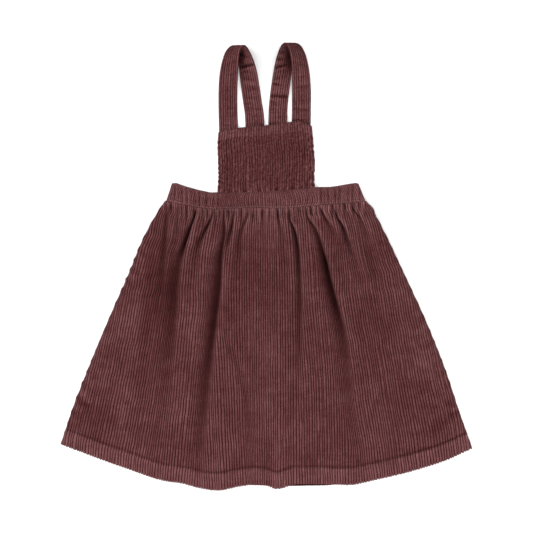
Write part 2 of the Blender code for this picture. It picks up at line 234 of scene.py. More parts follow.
def gridFaces(rows, columns, start, turned):
    row, col = np.mgrid[0 : rows - 1, 0 : columns - 1]
    corner = start + row * columns + col
    faces = np.stack([corner, corner + columns, corner + columns + 1, corner + 1], -1).reshape(-1, 4)
    return faces[:, ::-1] if turned else faces


def wallFaces(rows, wide, narrow):  # a fine outer grid, a coarser inner one, and the borders
    ratio, inner = (wide - 1) // (narrow - 1), rows * wide
    faces = gridFaces(rows, wide, 0, False).tolist() + gridFaces(rows, narrow, inner, True).tolist()
    for row in range(rows - 1):
        here, there = row * wide, (row + 1) * wide
        low, lower = inner + row * narrow, inner + (row + 1) * narrow
        faces.append([here, low, lower, there])
        faces.append([here + wide - 1, there + wide - 1, lower + narrow - 1, low + narrow - 1])
    for row, turned in ((0, False), (rows - 1, True)):
        for col in range(narrow - 1):
            first, low = row * wide + col * ratio, inner + row * narrow + col
            fan = [[low, first + k, first + k + 1] for k in range(ratio)]
            fan.append([low, first + ratio, low + 1])
            faces.extend(face[::-1] if turned else face for face in fan)
    return faces


def makeMesh(name, points, faces, material, uv=None, **marks):
    mesh = bpy.data.meshes.new(name)
    mesh.from_pydata((np.asarray(points) * mm).tolist(), [], faces)
    if uv is not None:
        corners = np.zeros(len(mesh.loops), int)
        mesh.loops.foreach_get("vertex_index", corners)
        layer = mesh.uv_layers.new(name="cloth")
        layer.data.foreach_set("uv", uv[corners].astype(np.float32).ravel())
    for label, values in marks.items():
        mark = mesh.attributes.new(label, "FLOAT", "POINT")
        mark.data.foreach_set("value", values.astype(np.float32))
    mesh.materials.append(material)
    obj = bpy.data.objects.new(name, mesh)
    bpy.context.scene.collection.objects.link(obj)
    bpy.ops.object.select_all(action="DESELECT")
    obj.select_set(True)
    bpy.context.view_layer.objects.active = obj
    bpy.ops.object.mode_set(mode="EDIT")
    bpy.ops.mesh.select_all(action="SELECT")
    bpy.ops.mesh.remove_doubles(threshold=1e-6)
    bpy.ops.mesh.normals_make_consistent(inside=False)
    bpy.ops.object.mode_set(mode="OBJECT")
    bpy.ops.object.shade_smooth()
    obj.select_set(False)
    return obj


def makeWall(name, face, back, rubbed=0.0):
    rows, wide, narrow = face.shape[0], face.shape[1], back.shape[1]
    both = np.concatenate([face.reshape(-1, 7), back.reshape(-1, 7)])
    wrong = np.repeat((0.0, 1.0), (rows * wide, rows * narrow))
    return makeMesh(name, both[:, :3], wallFaces(rows, wide, narrow), corduroy, both[:, 3:5],
                    tone=both[:, 5], wrongSide=wrong, rubbed=both[:, 6] + rubbed)


def declare(obj, nodes):
    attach(obj, "root")
    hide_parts(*nodes)
    print(obj.name, "made:", len(obj.data.polygons), "faces")


def newMaterial(name, settings):
    material = bpy.data.materials.new(name)
    material.use_nodes = True
    tree = material.node_tree
    shader = tree.nodes["Principled BSDF"]
    for key, value in settings.items():
        shader.inputs[key].default_value = value
    return material, tree, shader


def addNode(tree, kind, inputs=None, **settings):
    node = tree.nodes.new(kind)
    for key, value in settings.items():
        setattr(node, key, value)
    for key, value in (inputs or {}).items():
        if isinstance(value, bpy.types.NodeSocket):
            tree.links.new(value, node.inputs[key])
        else:
            node.inputs[key].default_value = value
    return node


def mathNode(tree, operation, *values):
    return addNode(tree, "ShaderNodeMath", dict(enumerate(values)), operation=operation).outputs[0]


def mixNode(tree, factor, first, second):
    return addNode(tree, "ShaderNodeMix", {"Factor": factor, "A": first, "B": second}).outputs[0]


def rangeNode(tree, value, low, high, toLow, toHigh, smooth=False):
    return addNode(tree, "ShaderNodeMapRange",
                   {"Value": value, "From Min": low, "From Max": high, "To Min": toLow, "To Max": toHigh},
                   interpolation_type="SMOOTHSTEP" if smooth else "LINEAR").outputs[0]


def scaleNode(tree, vector, scale, location=(0.0, 0.0, 0.0)):
    inputs = {"Vector": vector, "Location": location, "Scale": (*scale, 1.0)}
    return addNode(tree, "ShaderNodeMapping", inputs).outputs[0]


def noiseNode(tree, vector, scale=1.0, detail=2.0):
    inputs = {"Vector": vector, "Scale": scale, "Detail": detail}
    return addNode(tree, "ShaderNodeTexNoise", inputs).outputs[0]


def finishShader(tree, shader, colour, height, strength, depth):
    bump = addNode(tree, "ShaderNodeBump", {"Height": height, "Strength": strength, "Distance": depth * mm})
    tree.links.new(colour, shader.inputs["Base Color"])
    tree.links.new(bump.outputs[0], shader.inputs["Normal"])


corduroyFinish = {
    "crest": 0.0825,  # how light the cloth's red is; green and blue follow from it
    # painted shade: the grooves are coloured darker than the crests
    "groove": 0.0225,
    "wrong": 0.055,
    "green": 1.385,
    "blue": 1.44,
    "depth": 0.535,  # above 0 the shaded cloth is a deeper red than the lit cloth
    "lit": 0.1,  # past this the cloth gets lighter but no greyer
    "darkest": 0.0005,
    "stripe": (0.25, 0.93),  # heights of the wave between groove and crest
    "worn": 0.5,  # how much of the stripes is lost where the cloth is handled most
    "faded": 0.42,  # how much of them is lost in the most faded patches
    "fadedScale": (85.0, 60.0),
    "wornLevel": 0.52,  # where worn stripes lie between groove and crest
    "noise": (0.3, 0.7),  # the part of a noise's range that is used
    "nap": (0.3, 0.24),  # what rubbing adds to the strength of the uneven strokes, and that strength
    "strand": 0.17,  # how fast a single wale changes along its length
    "strands": (0.85, 1.15),  # darkest and lightest of them
    "weave": 7.0,  # threads of the wrong side to a wale
    "patches": (  # noise scale across, scale along, darkest, lightest
        (26.0, 20.0, 0.9, 1.1),
        (60.0, 85.0, 0.92, 1.08),
        (45.0, 190.0, 0.92, 1.08),
    ),
    "bump": (0.55, 0.3),  # strength, depth
    "shader": {
        "Roughness": 0.92,
        "Specular IOR Level": 0.06,
        "Sheen Weight": 0.06,
        "Sheen Roughness": 0.45,
        "Sheen Tint": (0.85, 0.45, 0.45, 1),
    },
}


def corduroyMaterial():
    settings = corduroyFinish
    material, tree, shader = newMaterial("plumCorduroy", settings["shader"])
    uv = addNode(tree, "ShaderNodeUVMap", uv_map="cloth").outputs[0]
    where = addNode(tree, "ShaderNodeTexCoord").outputs["Object"]
    tone, wrong, rubbed = (addNode(tree, "ShaderNodeAttribute", attribute_name=label).outputs["Fac"]
                           for label in ("tone", "wrongSide", "rubbed"))
    count, along = addNode(tree, "ShaderNodeSeparateXYZ", {0: uv}).outputs[:2]

    # cut pile: rounded crests between narrow dark grooves, whose darker colour is painted shade, flatter
    # where they are worn or faded
    wave = mathNode(tree, "ABSOLUTE", mathNode(tree, "SINE", mathNode(tree, "MULTIPLY", count, math.pi)))
    crest = rangeNode(tree, wave, *settings["stripe"], 0.0, 1.0, smooth=True)
    faded = noiseNode(tree, scaleNode(tree, where, settings["fadedScale"], (5.3, 8.7, 2.5)))
    worn = mathNode(tree, "MULTIPLY", rubbed, settings["worn"])
    worn = mathNode(tree, "ADD", worn, rangeNode(tree, faded, 0.42, 0.7, 0.0, settings["faded"]))
    crest = mixNode(tree, worn, crest, settings["wornLevel"])
    pile = mixNode(tree, crest, settings["groove"], settings["crest"])
    plain = mixNode(tree, wrong, pile, settings["wrong"])

    # nap in short uneven strokes, one wale brushed darker than the next, and rubbed patches
    nap = noiseNode(tree, scaleNode(tree, uv, (1.0, 0.85)), 1.7, 3.0)
    reach = mathNode(tree, "MULTIPLY_ADD", rubbed, *settings["nap"])
    shade = mathNode(tree, "MULTIPLY", rangeNode(tree, nap, *settings["noise"], -1.0, 1.0), reach)
    strand = addNode(tree, "ShaderNodeCombineXYZ", {
        0: mathNode(tree, "FLOOR", count), 1: mathNode(tree, "MULTIPLY", along, settings["strand"])})
    patchy = noiseNode(tree, strand.outputs[0], 1.37)
    shade = mathNode(tree, "ADD", shade, rangeNode(tree, patchy, *settings["noise"], *settings["strands"]))
    for across, down, low, high in settings["patches"]:
        patch = noiseNode(tree, scaleNode(tree, where, (across, down), (across, 4.3, 2.5)), 1.0, 3.0)
        shade = mathNode(tree, "MULTIPLY", shade, rangeNode(tree, patch, *settings["noise"], low, high))
    # tone carries painted shade and highlight of the folds, creases, crinkles, welts and edges, and the
    # lighter and darker patches
    shade = mathNode(tree, "MULTIPLY", shade, mathNode(tree, "ADD", tone, 1.0))
    level = mathNode(tree, "MAXIMUM", mathNode(tree, "MULTIPLY", plain, shade), settings["darkest"])
    deep = mathNode(tree, "POWER", mathNode(tree, "MINIMUM", level, settings["lit"]), settings["depth"])
    deep = mathNode(tree, "MULTIPLY", level, deep)
    green, blue = (mathNode(tree, "MULTIPLY", deep, settings[part]) for part in ("green", "blue"))
    colour = addNode(tree, "ShaderNodeCombineColor", {0: level, 1: green, 2: blue}).outputs[0]

    # pile ends on the face, plain weave on the wrong side
    ends = noiseNode(tree, uv, 9.0)
    squares = scaleNode(tree, uv, (settings["weave"], settings["weave"]))
    weave = addNode(tree, "ShaderNodeTexChecker", {"Vector": squares, "Scale": 1.0}).outputs[1]
    finishShader(tree, shader, colour, mixNode(tree, wrong, ends, weave), *settings["bump"])
    return material


threadFinish = {
    "dark": (0.04, 0.011, 0.012, 1),
    "light": (0.06, 0.018, 0.019, 1),
    "twist": 900.0,
    "bump": (0.4, 0.2),
    "shader": {"Roughness": 0.85, "Specular IOR Level": 0.05},
}


def threadMaterial():
    material, tree, shader = newMaterial("plumThread", threadFinish["shader"])
    where = addNode(tree, "ShaderNodeTexCoord").outputs["Object"]
    twist = noiseNode(tree, where, threadFinish["twist"], 1.0)
    shades = {"Factor": twist, 6: threadFinish["dark"], 7: threadFinish["light"]}
    colour = addNode(tree, "ShaderNodeMix", shades, data_type="RGBA").outputs[2]
    finishShader(tree, shader, colour, twist, *threadFinish["bump"])
    return material


corduroy = corduroyMaterial()
thread = threadMaterial()
print("finishes ready:", corduroy.name, thread.name)


skirt = {
    "length": 365.0,
    "hem": 514.0,
    "waist": 398.0,  # the back is cut narrower at the waist, so its outer wales end at the side seams
    "backWales": 162,
    "frontWales": 184,  # with those that run out at the side seams or into the folds
    "frontStart": 8.0,  # how far its middle wale lies from the middle of the dress
    "waleSeed": 31,
    "rows": (  # start and end as shares of the way down, and rows: dense at the gathers and the hem
        (0.0, 0.10, 24), (0.10, 0.36, 26), (0.36, 0.925, 38), (0.925, 0.955, 10), (0.955, 1.0, 6),
    ),
    "backRows": 0.72,  # the back has this share of them
    "sideRoll": 5.0,
    "sideThin": 0.42,  # how much of its height the cloth has at the side seams
    "sideThinWidth": 48.0,
    "puckers": ((0.6, 9.0), (0.4, 24.0)),  # shares, and how far in from the side seams they reach
    "puckerHeight": 0.5,
    "puckerSway": (1.15, -0.8),  # how far they move the left and the right edge
    "creaseDepth": 0.9,
    "pleats": (0.93, 1.7, 7.3, (0.7, 1.37, 2.0), (0.5, 2.3, 0.0)),
    "pleatHeight": 1.5,
    "rumples": ((0.55, 60.0, 3, 1.0), (0.3, 22.0, 5, 1.0)),
    "hemStitch": 0.938,  # share of the way down
    "hemStep": 0.006,
    "hemExtra": 0.9,
    "furrow": 0.45,  # depth and width of the line that the hem stitches pull in
    "furrowWidth": 0.0035,
    "hemSlip": (-40.0, 22.0, 77.0),  # the turned hem has slipped aside: middle, half width, slant
    "backCloth": 1.5,
    "backGathers": 2.3,  # how far the back panel's gathers stand up at the waist
    "backPleats": 24,
    "edgeRadius": 1.1,
    "teeth": 1.7,
    "waistWear": 0.3,
}

sideSeams = (
    # down, left, right
    (0.000, -126.9, 125.0),
    (0.025, -131.9, 132.0),
    (0.058, -138.1, 137.0),
    (0.155, -154.1, 152.0),
    (0.300, -172.4, 173.0),
    (0.500, -198.9, 201.1),
    (0.700, -224.1, 225.3),
    (0.850, -241.8, 240.5),
    (1.000, -256.9, 256.9),
)
waistSeam = (
    # x, y
    (-126.9, 82.3), (-98.1, 75.9), (-71.9, 71.7), (-45.6, 72.3), (-10.6, 73.2),
    (24.4, 72.6), (59.4, 75.9), (94.4, 78.6), (125.0, 81.5),
)
frontHem = (
    # x, y
    (-256.9, -221.9), (-218.1, -236.3), (-173.1, -252.5), (-128.1, -267.3), (-105.6, -270.6),
    (-83.1, -276.6), (-60.6, -279.0), (-38.1, -274.2), (-0.6, -273.0), (11.9, -277.4),
    (27.0, -274.0), (34.0, -271.4), (52.0, -270.8), (74.0, -270.9), (88.0, -271.8), (104.4, -272.4),
    (134.4, -266.4), (194.4, -251.4), (224.4, -241.4), (256.9, -227.0),
)
backHem = (
    # x, y
    (-256.9, -221.2), (-173.1, -250.9), (-105.6, -268.0), (-38.1, -272.2), (29.4, -274.2),
    (52.0, -273.8), (76.0, -273.4), (134.4, -264.2), (194.4, -249.7), (256.9, -226.0),
)
loft = (
    # down, height of the cloth between folds above where it would lie flat
    (0.00, 2.6), (0.010, 5.0), (0.022, 7.2), (0.05, 8.4), (0.30, 8.8), (0.60, 7.6), (0.90, 5.6),
    (1.00, 4.6),
)

# Folds of the front, from left to right. Each row is x, y, share of the loft taken away,
# half width to the left and to the right, and height of the rim on the right.
frontFolds = {
    "leftOuter": ((-137, 21, .20, 6, 6, 0), (-143, -1, .38, 7, 6, 0), (-149, -67, .42, 8, 7, .2),
                  (-152, -117, .36, 9, 7, .2), (-159, -179, .2, 9, 8, 0), (-167, -242, 0, 9, 8, 0)),
    "leftEdge": ((-119, 77, .5, 3, 2.5, .5), (-124, 61, .6, 3.5, 3, .8), (-127, 34, .7, 4, 3.5, .6),
                 (-131, -11, .6, 6, 4, .4), (-136, -54, .42, 8, 6, .2), (-143, -104, 0, 9, 8, 0)),
    "leftSecond": ((-109, 78, .6, 3, 2.5, .5), (-111, 59, .45, 3.5, 3, .5), (-114, 33, .4, 5, 4, .4),
                   (-118, 6, .42, 6, 4, .3), (-120, -23, .3, 7, 5, .2), (-123, -54, 0, 7, 6, 0)),
    "leftNick": ((-100, 73, .55, 2, 2, .4), (-99, 62, .3, 2.5, 2.5, .3), (-100, 50, 0, 3, 3, 0)),
    "leftDeep": ((-87, 73, 0.7, 3, 2, 0.8), (-88, 65, 0.93, 4, 1.6, 1.5),
                 (-94.5, 47, 0.97, 4.5, 1.8, 1.8), (-101, 28, 0.95, 5, 2.2, 1.8),
                 (-107, 11, 0.8, 9, 3.8, 1.4), (-112.5, -23, 0.76, 12, 4.2, 1.2),
                 (-117, -67, 0.7, 13, 5.5, 1), (-121, -98, 0.62, 12, 6, 0.6),
                 (-126, -167, 0.36, 11, 7, 0.3), (-133, -229, 0.12, 12, 9, 0)),
    "leftPinch": ((-79, 74, .6, 2, 2, .5), (-79, 59, .4, 3, 2.5, .4), (-81, 48, 0, 3, 3, 0)),
    "leftShort": ((-67, 73, 0.7, 2.5, 2, 0.5), (-69, 59, 0.75, 3.5, 2.2, 1),
                  (-74.5, 48, 0.8, 4, 2.5, 1.2), (-84, 29, 0.66, 5, 3, 0.8), (-88, 13, 0.54, 6, 4, 0.4),
                  (-94, -23, 0.3, 7, 6, 0.2), (-101, -60, 0, 8, 8, 0)),
    "leftThread": ((-61, 73, .55, 2, 2, .4), (-63, 56, .28, 3, 3, .3), (-66, 44, .1, 3, 3, 0),
                   (-67, 36, 0, 3, 3, 0)),
    "leftLong": ((-53, 74, 0.62, 2.2, 2, 0.6), (-53, 62, 0.62, 3, 2.2, 0.8),
                 (-52.5, 42, 0.72, 3.5, 2.6, 1), (-54.5, 28, 0.84, 5, 2.4, 1.2),
                 (-56.5, 13, 0.92, 8.5, 2.8, 1.5), (-58.5, -23, 0.96, 12.5, 3.4, 1.8),
                 (-64.3, -67, 0.94, 11.5, 3.8, 1.6), (-69.5, -101, 0.9, 10, 5, 1.4),
                 (-75.3, -142, 0.8, 10, 6, 1), (-80.5, -187, 0.66, 9, 6, 0.6),
                 (-84.5, -229, 0.5, 8, 6, 0.4), (-88, -267, 0.42, 7, 6, 0.3)),
    "leftTwin": ((-40, 73, .7, 2.2, 1.8, .8), (-41, 61, .8, 2.8, 2, 1), (-47, 33, .8, 3.2, 2.2, 1),
                 (-50, 13, .45, 4, 3, .6), (-53, -23, .16, 5, 4, .2), (-56, -54, 0, 6, 6, 0)),
    "middleLeft": ((-22, 73, 0.55, 2.5, 2, 0.6), (-24, 62, 0.45, 3.5, 2.4, 1), (-32, 42, 0.58, 4, 3, 1),
                   (-35, 13, 0.48, 5, 4, 0.4), (-38, -29, 0.1, 6, 6, 0), (-42, -79, 0.06, 6, 6, 0)),
    "diagonal": ((-56, -79, 0, 4, 4, 0), (-47, -98, 0.34, 4, 4, 0), (-36, -121, 0.4, 4, 4, 0.3),
                 (-27, -158, 0.42, 3.6, 3.6, 0.3), (-24, -182, 0.36, 4, 4, 0.3),
                 (-20, -236, 0.12, 6, 6, 0)),
    "middlePinch": ((-16, 73, .55, 2, 2, .3), (-17, 62, .3, 2.5, 2.5, .3), (-19, 50, 0, 3, 3, 0)),
    "middle": ((-4, 73, .6, 2, 2, .6), (-5, 63, .35, 2.5, 2.5, .7), (-5, 47, .2, 3, 3, .4),
               (-6, 27, 0, 4, 4, 0)),
    "waistDimple": ((-11, 43, 0, 5, 4, 0), (-11, 33, .2, 5, 4, 0), (-12, 20, 0, 5, 4, 0)),
    "middleNick": ((7, 73, .55, 2, 2, .5), (6, 62, .35, 2.6, 2.4, .4), (4, 53, 0, 3, 3, 0)),
    "middleRight": ((13, 74, 0.7, 2.2, 2, 0.8), (14.5, 63, 0.55, 2.6, 2.2, 0.9),
                    (18, 48, 0.42, 3, 2.6, 0.7), (20, 26, 0.38, 3.6, 3, 0.6), (22.5, 6, 0.28, 4, 4, 0.4),
                    (24, -31, 0.1, 5, 5, 0.1), (25, -79, 0, 5, 5, 0)),
    "rightNick": ((20, 73, .6, 2, 2, .5), (19, 64, .35, 2.4, 2, .4), (19, 56, 0, 3, 3, 0)),
    "rightThin": ((27, 73, 0.6, 2, 1.8, 0.6), (29, 59, 0.5, 2.6, 1.8, 0.6),
                  (32.5, 52, 0.85, 2.6, 1.6, 1.2), (36.5, 41, 0.86, 3, 1.8, 1.4),
                  (39, 26, 0.86, 3.4, 2.2, 1.4), (40.5, 6, 0.78, 4, 2.4, 1.2),
                  (41.5, -31, 0.72, 5, 2.8, 1), (41.5, -73, 0.62, 5, 3.2, 0.8),
                  (40.5, -104, 0.48, 5, 3.5, 0.5), (35, -167, 0.24, 5, 4, 0.3),
                  (31, -217, 0.16, 5, 5, 0.3), (29, -261, 0.2, 5, 5, 0.3)),
    "rightTuck": ((34, 73, .55, 2, 2, .4), (33, 65, .3, 2.2, 2.2, .3), (33, 57, 0, 3, 3, 0)),
    "rightPinch": ((42, 75, .7, 2.2, 2, .6), (43, 64, .45, 2.6, 2.2, .5), (44, 49, .2, 4, 3, .3),
                   (48, 31, .12, 4, 4, .2), (49, 14, 0, 5, 5, 0)),
    "rightLong": ((48, 76, 0.68, 2.4, 2, 0.9), (53, 59, 0.6, 3.4, 2.2, 1), (59, 51, 0.62, 4, 2.2, 1.1),
                  (63, 43, 0.72, 4.5, 2.2, 1.2), (68, 28, 0.84, 5, 2.4, 1.5), (74.5, 6, 1, 7, 2.8, 1.8),
                  (80, -19, 1, 9, 3.2, 2), (87.5, -48, 1, 10, 3.6, 1.8), (95, -79, 0.84, 12, 4.4, 1.5),
                  (98, -104, 0.68, 12, 5.5, 1.2), (101, -142, 0.54, 10, 7, 0.8),
                  (106, -186, 0.38, 9, 7, 0.4), (120, -242, 0.24, 8, 7, 0.3)),
    "rightPeg": ((54, 76, .7, 2, 1.8, .5), (56, 68, .7, 2, 1.8, .6), (58, 62, .3, 2.2, 2, .3),
                 (59, 55, 0, 3, 3, 0)),
    "rightShort": ((65, 77, 0.65, 2.5, 2, 0.7), (69.5, 68, 0.72, 3.5, 2.2, 0.8),
                   (75, 59, 0.65, 5, 2.4, 1), (83, 46, 0.42, 6, 3, 0.6), (89, 31, 0.2, 6, 5, 0.2),
                   (94, 6, 0.12, 7, 6, 0), (101, -24, 0, 8, 8, 0)),
    "rightDeep": ((82, 78, 0.65, 2, 2, 0.5), (86, 68, 0.62, 2.6, 2.2, 0.6), (89, 61, 0.83, 3, 1.8, 1),
                  (95, 51, 0.86, 3.6, 2, 1.2), (100, 38, 0.72, 4.2, 2.2, 1),
                  (105.5, 23, 0.58, 5.5, 2.6, 0.8), (111.5, 6, 0.46, 7, 4, 0.6),
                  (120, -22, 0.3, 8, 5, 0.4), (130, -48, 0.18, 9, 7, 0.2), (142, -86, 0, 9, 8, 0)),
    "rightTouch": ((96, 79, .55, 2, 2, .4), (102, 66, .3, 3, 3, .3), (104, 56, .22, 3.5, 3.5, .2),
                   (107, 43, 0, 4, 4, 0)),
    "rightEdge": ((105, 79, 0.65, 2.4, 2, 0.7), (109, 71, 0.7, 2.8, 2, 0.9),
                  (116, 62, 0.58, 3.4, 2.2, 0.9), (122.5, 48, 0.46, 4.5, 3, 0.7),
                  (128, 33, 0.4, 6, 4, 0.5), (137, 6, 0.26, 8, 6, 0.3), (144, -23, 0.22, 8, 7, 0.3),
                  (158, -67, 0.16, 9, 8, 0.2), (173, -117, 0, 9, 8, 0)),
    "rightSoft": ((122, 33, 0.2, 6, 5, 0), (127, 21, 0.42, 6, 4, 0.4), (132, -1, 0.55, 6, 5, 0.5),
                  (133.5, -20, 0.42, 8, 6, 0.4), (139, -67, 0.3, 9, 8, 0.2), (149, -104, 0, 9, 9, 0)),
    "rightLower": ((114, -48, 0, 8, 8, 0), (122, -79, .26, 9, 8, .3), (138, -142, .3, 10, 9, .3),
                   (154, -198, .25, 10, 9, .2), (168, -244, .15, 9, 9, 0)),
    "hemDip": ((1, -192, 0, 6, 6, .3), (2, -217, .28, 6, 6, .3), (2, -254, .42, 6, 6, .4),
               (2, -275, .5, 6, 6, .4)),
}

# Cloth taken up by each fold of the front: y, millimetres of it
frontTucks = {
    "leftEdge": ((-44, 0), (-16, 2), (14, 4), (76, 6)),
    "leftSecond": ((-44, 0), (-16, 1), (14, 2), (76, 3)),
    "leftDeep": ((-250, 1), (-235, 2.5), (-204, 4.5), (-173, 6), (-141, 7), (-110, 8), (-79, 9.5),
                 (-48, 10.5), (-16, 11), (14, 11.5)),
    "leftShort": ((-60, 0), (13, 1), (74, 3)),
    "leftLong": ((-270, 0), (-235, 5), (-204, 9), (-173, 12.5), (-141, 15.5), (-110, 18.5), (-79, 21.5),
                 (-48, 25), (-16, 26.5), (14, 28), (74, 31)),
    "leftTwin": ((-10, 0), (73, 2)),
    "middleLeft": ((-29, 0), (60, 2)),
    "diagonal": ((-276, 10), (-48, 0)),
    "middleRight": ((-31, 0), (73, 2)),
    "rightThin": ((-276, 0), (-141, 1), (-48, 4), (14, 5), (73, 8)),
    "rightLong": ((-276, 0), (-235, 4), (-204, 8.5), (-173, 13), (-141, 15.5), (-110, 17), (-79, 16.5),
                  (-48, 15), (-16, 14.5), (14, 14.5)),
    "rightShort": ((-40, 0), (-16, 1), (14, 4), (76, 9)),
    "rightDeep": ((-40, 0), (-16, 1.5), (14, 4.5), (78, 8)),
    "rightEdge": ((-40, 0), (76, 6)),
}
frontSway = (
    # y, how far the cloth at x = 0 has come from the left
    (80, 0.0), (-276, -3.0),
)

# Soft raised runs on the front: x, y, height, half width
frontSwells = {
    "rightLight": ((163, -54, 0, 6), (182, -92, 1.5, 6), (208, -138, 1.5, 6), (219, -160, 0, 8)),
    "rightRun": ((107, -80, 0, 5), (122, -112, 1.1, 6), (138, -155, 1.3, 6), (152, -200, 1.0, 6),
                 (158, -225, 0, 7)),
    "leftLight": ((-176, -145, 0, 5), (-178, -172, 1.3, 5), (-182, -200, 1.3, 6), (-185, -225, 0, 7)),
    "hemLeft": ((-60, -205, 0, 6), (-60, -240, .8, 7), (-60, -276, 1.4, 7)),
    "hemRight": ((13, -205, 0, 5), (13, -240, .8, 6), (13, -275, 1.2, 6)),
    "leftKnee": ((-148, 20, 0, 9), (-160, -60, .8, 10), (-170, -120, .8, 10), (-180, -190, 0, 10)),
    "middleKnee": ((0, 10, 0, 14), (-4, -60, .8, 16), (4, -140, .6, 16), (8, -200, 0, 16)),
    "fan1": ((-106, 78, .9, 1.6), (-112, 62, 1.5, 2), (-118, 40, 0, 2.4)),
    "fan2": ((-84, 72, 1.0, 1.6), (-91, 56, 1.5, 2), (-100, 38, 0, 2.4)),
    "fan3": ((-70, 70, 1.0, 1.5), (-72, 60, 1.3, 1.8), (-78, 46, 0, 2.2)),
    "fan4": ((-37, 70, 1.0, 1.5), (-40, 60, 1.5, 1.8), (-45, 44, 0, 2.2)),
    "fan5": ((-18, 70, 1.2, 1.6), (-20, 62, 1.9, 1.8), (-25, 50, 1.6, 2), (-30, 38, 0, 2.2)),
    "fan6": ((-7, 70, 1.2, 1.5), (-7, 60, 1.7, 1.6), (-7, 48, 0, 2)),
    "fan7": ((10, 70, 1.2, 1.5), (12, 58, 1.9, 1.7), (14, 46, 1.5, 2), (16, 30, 0, 2)),
    "fan8": ((21, 70, 1.0, 1.4), (22, 60, 1.5, 1.6), (24, 42, 0, 2)),
    "fan9": ((37, 73, .9, 1.5), (40, 62, 1.3, 1.8), (44, 46, 0, 2.2)),
    "fan10": ((53, 74, 1.0, 1.6), (57, 62, 1.5, 1.9), (63, 48, 0, 2.2)),
    "fan11": ((71, 75, .9, 1.6), (76, 64, 1.3, 2), (84, 48, 0, 2.4)),
    "fan12": ((88, 78, 1.0, 1.6), (93, 66, 1.4, 2), (100, 48, 0, 2.4)),
    "fan13": ((112, 80, 1.0, 1.6), (118, 68, 1.4, 2), (127, 48, 0, 2.4)),
}


foldShape = {
    "onset": 1.45,  # above 1 a shallow share takes less of the loft away
    "runOut": 12.0,  # length over which a fold ends
    "hemFolds": -230.0,  # folds that reach lower run on to the hem
    "leftRound": 2.1,  # powers of the two flanks: the left one is round, the right one steep
    "rightSteep": 3.2,
    "lean": 0.7,
}


def foldField(x, y, folds, narrow=1.0, tucks=()):
    # share of the loft that stays, height of the rims, how far they lean to the left,
    # and the cloth that the folds take up
    stays, rims, lean, tucked = np.ones_like(x), np.zeros_like(x), np.zeros_like(x), np.zeros_like(x)
    for name, rows in folds.items():
        middle = smoothRead(column(rows, 1), column(rows, 0), y)
        share, left, right, rim = (straightRead(rows, y, k, 1) for k in (2, 3, 4, 5))
        share, end = share ** foldShape["onset"], rows[-1][1]
        fade = ease(y, end - foldShape["runOut"], end) if end > foldShape["hemFolds"] else 1.0
        away = (x - middle) / narrow
        slopes = np.where(away < 0, np.abs(away / left) ** foldShape["leftRound"],
                          np.abs(away / right) ** foldShape["rightSteep"])
        hollow = np.exp(-slopes)
        stays *= 1 - share * fade * hollow
        rims += rim * fade * bell(away - 1.7 * right - 1.2, 1.1 * right + 1.6)
        lean += rim * fade * foldShape["lean"] * bell(away - 1.5 * right, 0.9 * right + 0.5)
        if name in tucks:
            taken = straightRead(tucks[name], y)
            tucked += taken * hollow / (hollow.sum(axis=1, keepdims=True) + 1e-6)
    return stays, rims, lean, tucked


def swellField(x, y, swells):
    raised = 0.0
    for rows in swells.values():
        middle = smoothRead(column(rows, 1), column(rows, 0), y)
        raised = raised + straightRead(rows, y, 2, 1) * bell(x - middle, straightRead(rows, y, 3, 1))
    return raised


def panelRow(down, hem):  # places across the panel, down to the given hem
    left, right = read(sideSeams, down, 1), read(sideSeams, down, 2)
    waistX, hemX = (between(*sideSeams[end][1:], shares) for end in (0, -1))
    y = (1 - down) * read(waistSeam, waistX) + down * read(hem, hemX)
    return between(left, right, shares), y


def panelRows(fine=1.0):
    return rowsAlong([(start, end, round(rows * fine)) for start, end, rows in skirt["rows"]])


def hemFurrow(down):
    return skirt["furrow"] * bell(down - skirt["hemStitch"], skirt["furrowWidth"])


def hemRise(down):  # the turned hem doubles the cloth, and its stitches pull a furrow into it
    rise = skirt["hemExtra"] * ease(down, skirt["hemStitch"], skirt["hemStitch"] + skirt["hemStep"])
    return rise - hemFurrow(down)


def sideSlope(inside):  # the panel thins out toward its side seams, then turns down
    full = ease(inside, 0.0, skirt["sideThinWidth"])
    return (skirt["sideThin"] + (1 - skirt["sideThin"]) * full) * rolled(inside, skirt["sideRoll"])


def sidePucker(x, y, inside):  # the side seams draw up in short uneven waves
    near = sum(share * bell(inside, reach) for share, reach in skirt["puckers"])
    wave = np.sin((y + 0.5 * inside) / 2.3 + 1.6 * np.sin(y / 17.0) + 0.8 * np.sin(inside / 6.0))
    return near, wave * (0.7 + 0.3 * np.sin(y / 29.0 + x / 40.0))


def backStand(down):  # most that the back panel's creases stand up
    return 0.5 + skirt["backGathers"] * bell(down, 0.26)


def restLevel(down):  # where the front cloth's face would lie if it were pressed flat
    lift = skirt["backCloth"] + backStand(down) + hemRise(down).clip(0.0) + cloth["layerGap"]
    return lift + cloth["thickness"]


def rollRows(grid, radius, outward):  # rows that turn the last edge down, along y
    last = grid[-1].copy()
    grid = grid.copy()
    grid[-1, :, 1] -= outward * radius
    rows = [grid]
    for angle in (30.0, 60.0, 90.0):
        turned = last.copy()
        turned[:, 1] -= outward * radius * (1 - math.sin(math.radians(angle)))
        turned[:, 2] -= radius * (1 - math.cos(math.radians(angle)))
        rows.append(turned[None])
    return np.concatenate(rows)


def pleatField(x):  # fine pleats of the gathering thread, -1 to 1
    return np.clip(gathers(x, *skirt["pleats"]) / 1.3, -1.0, 1.0)
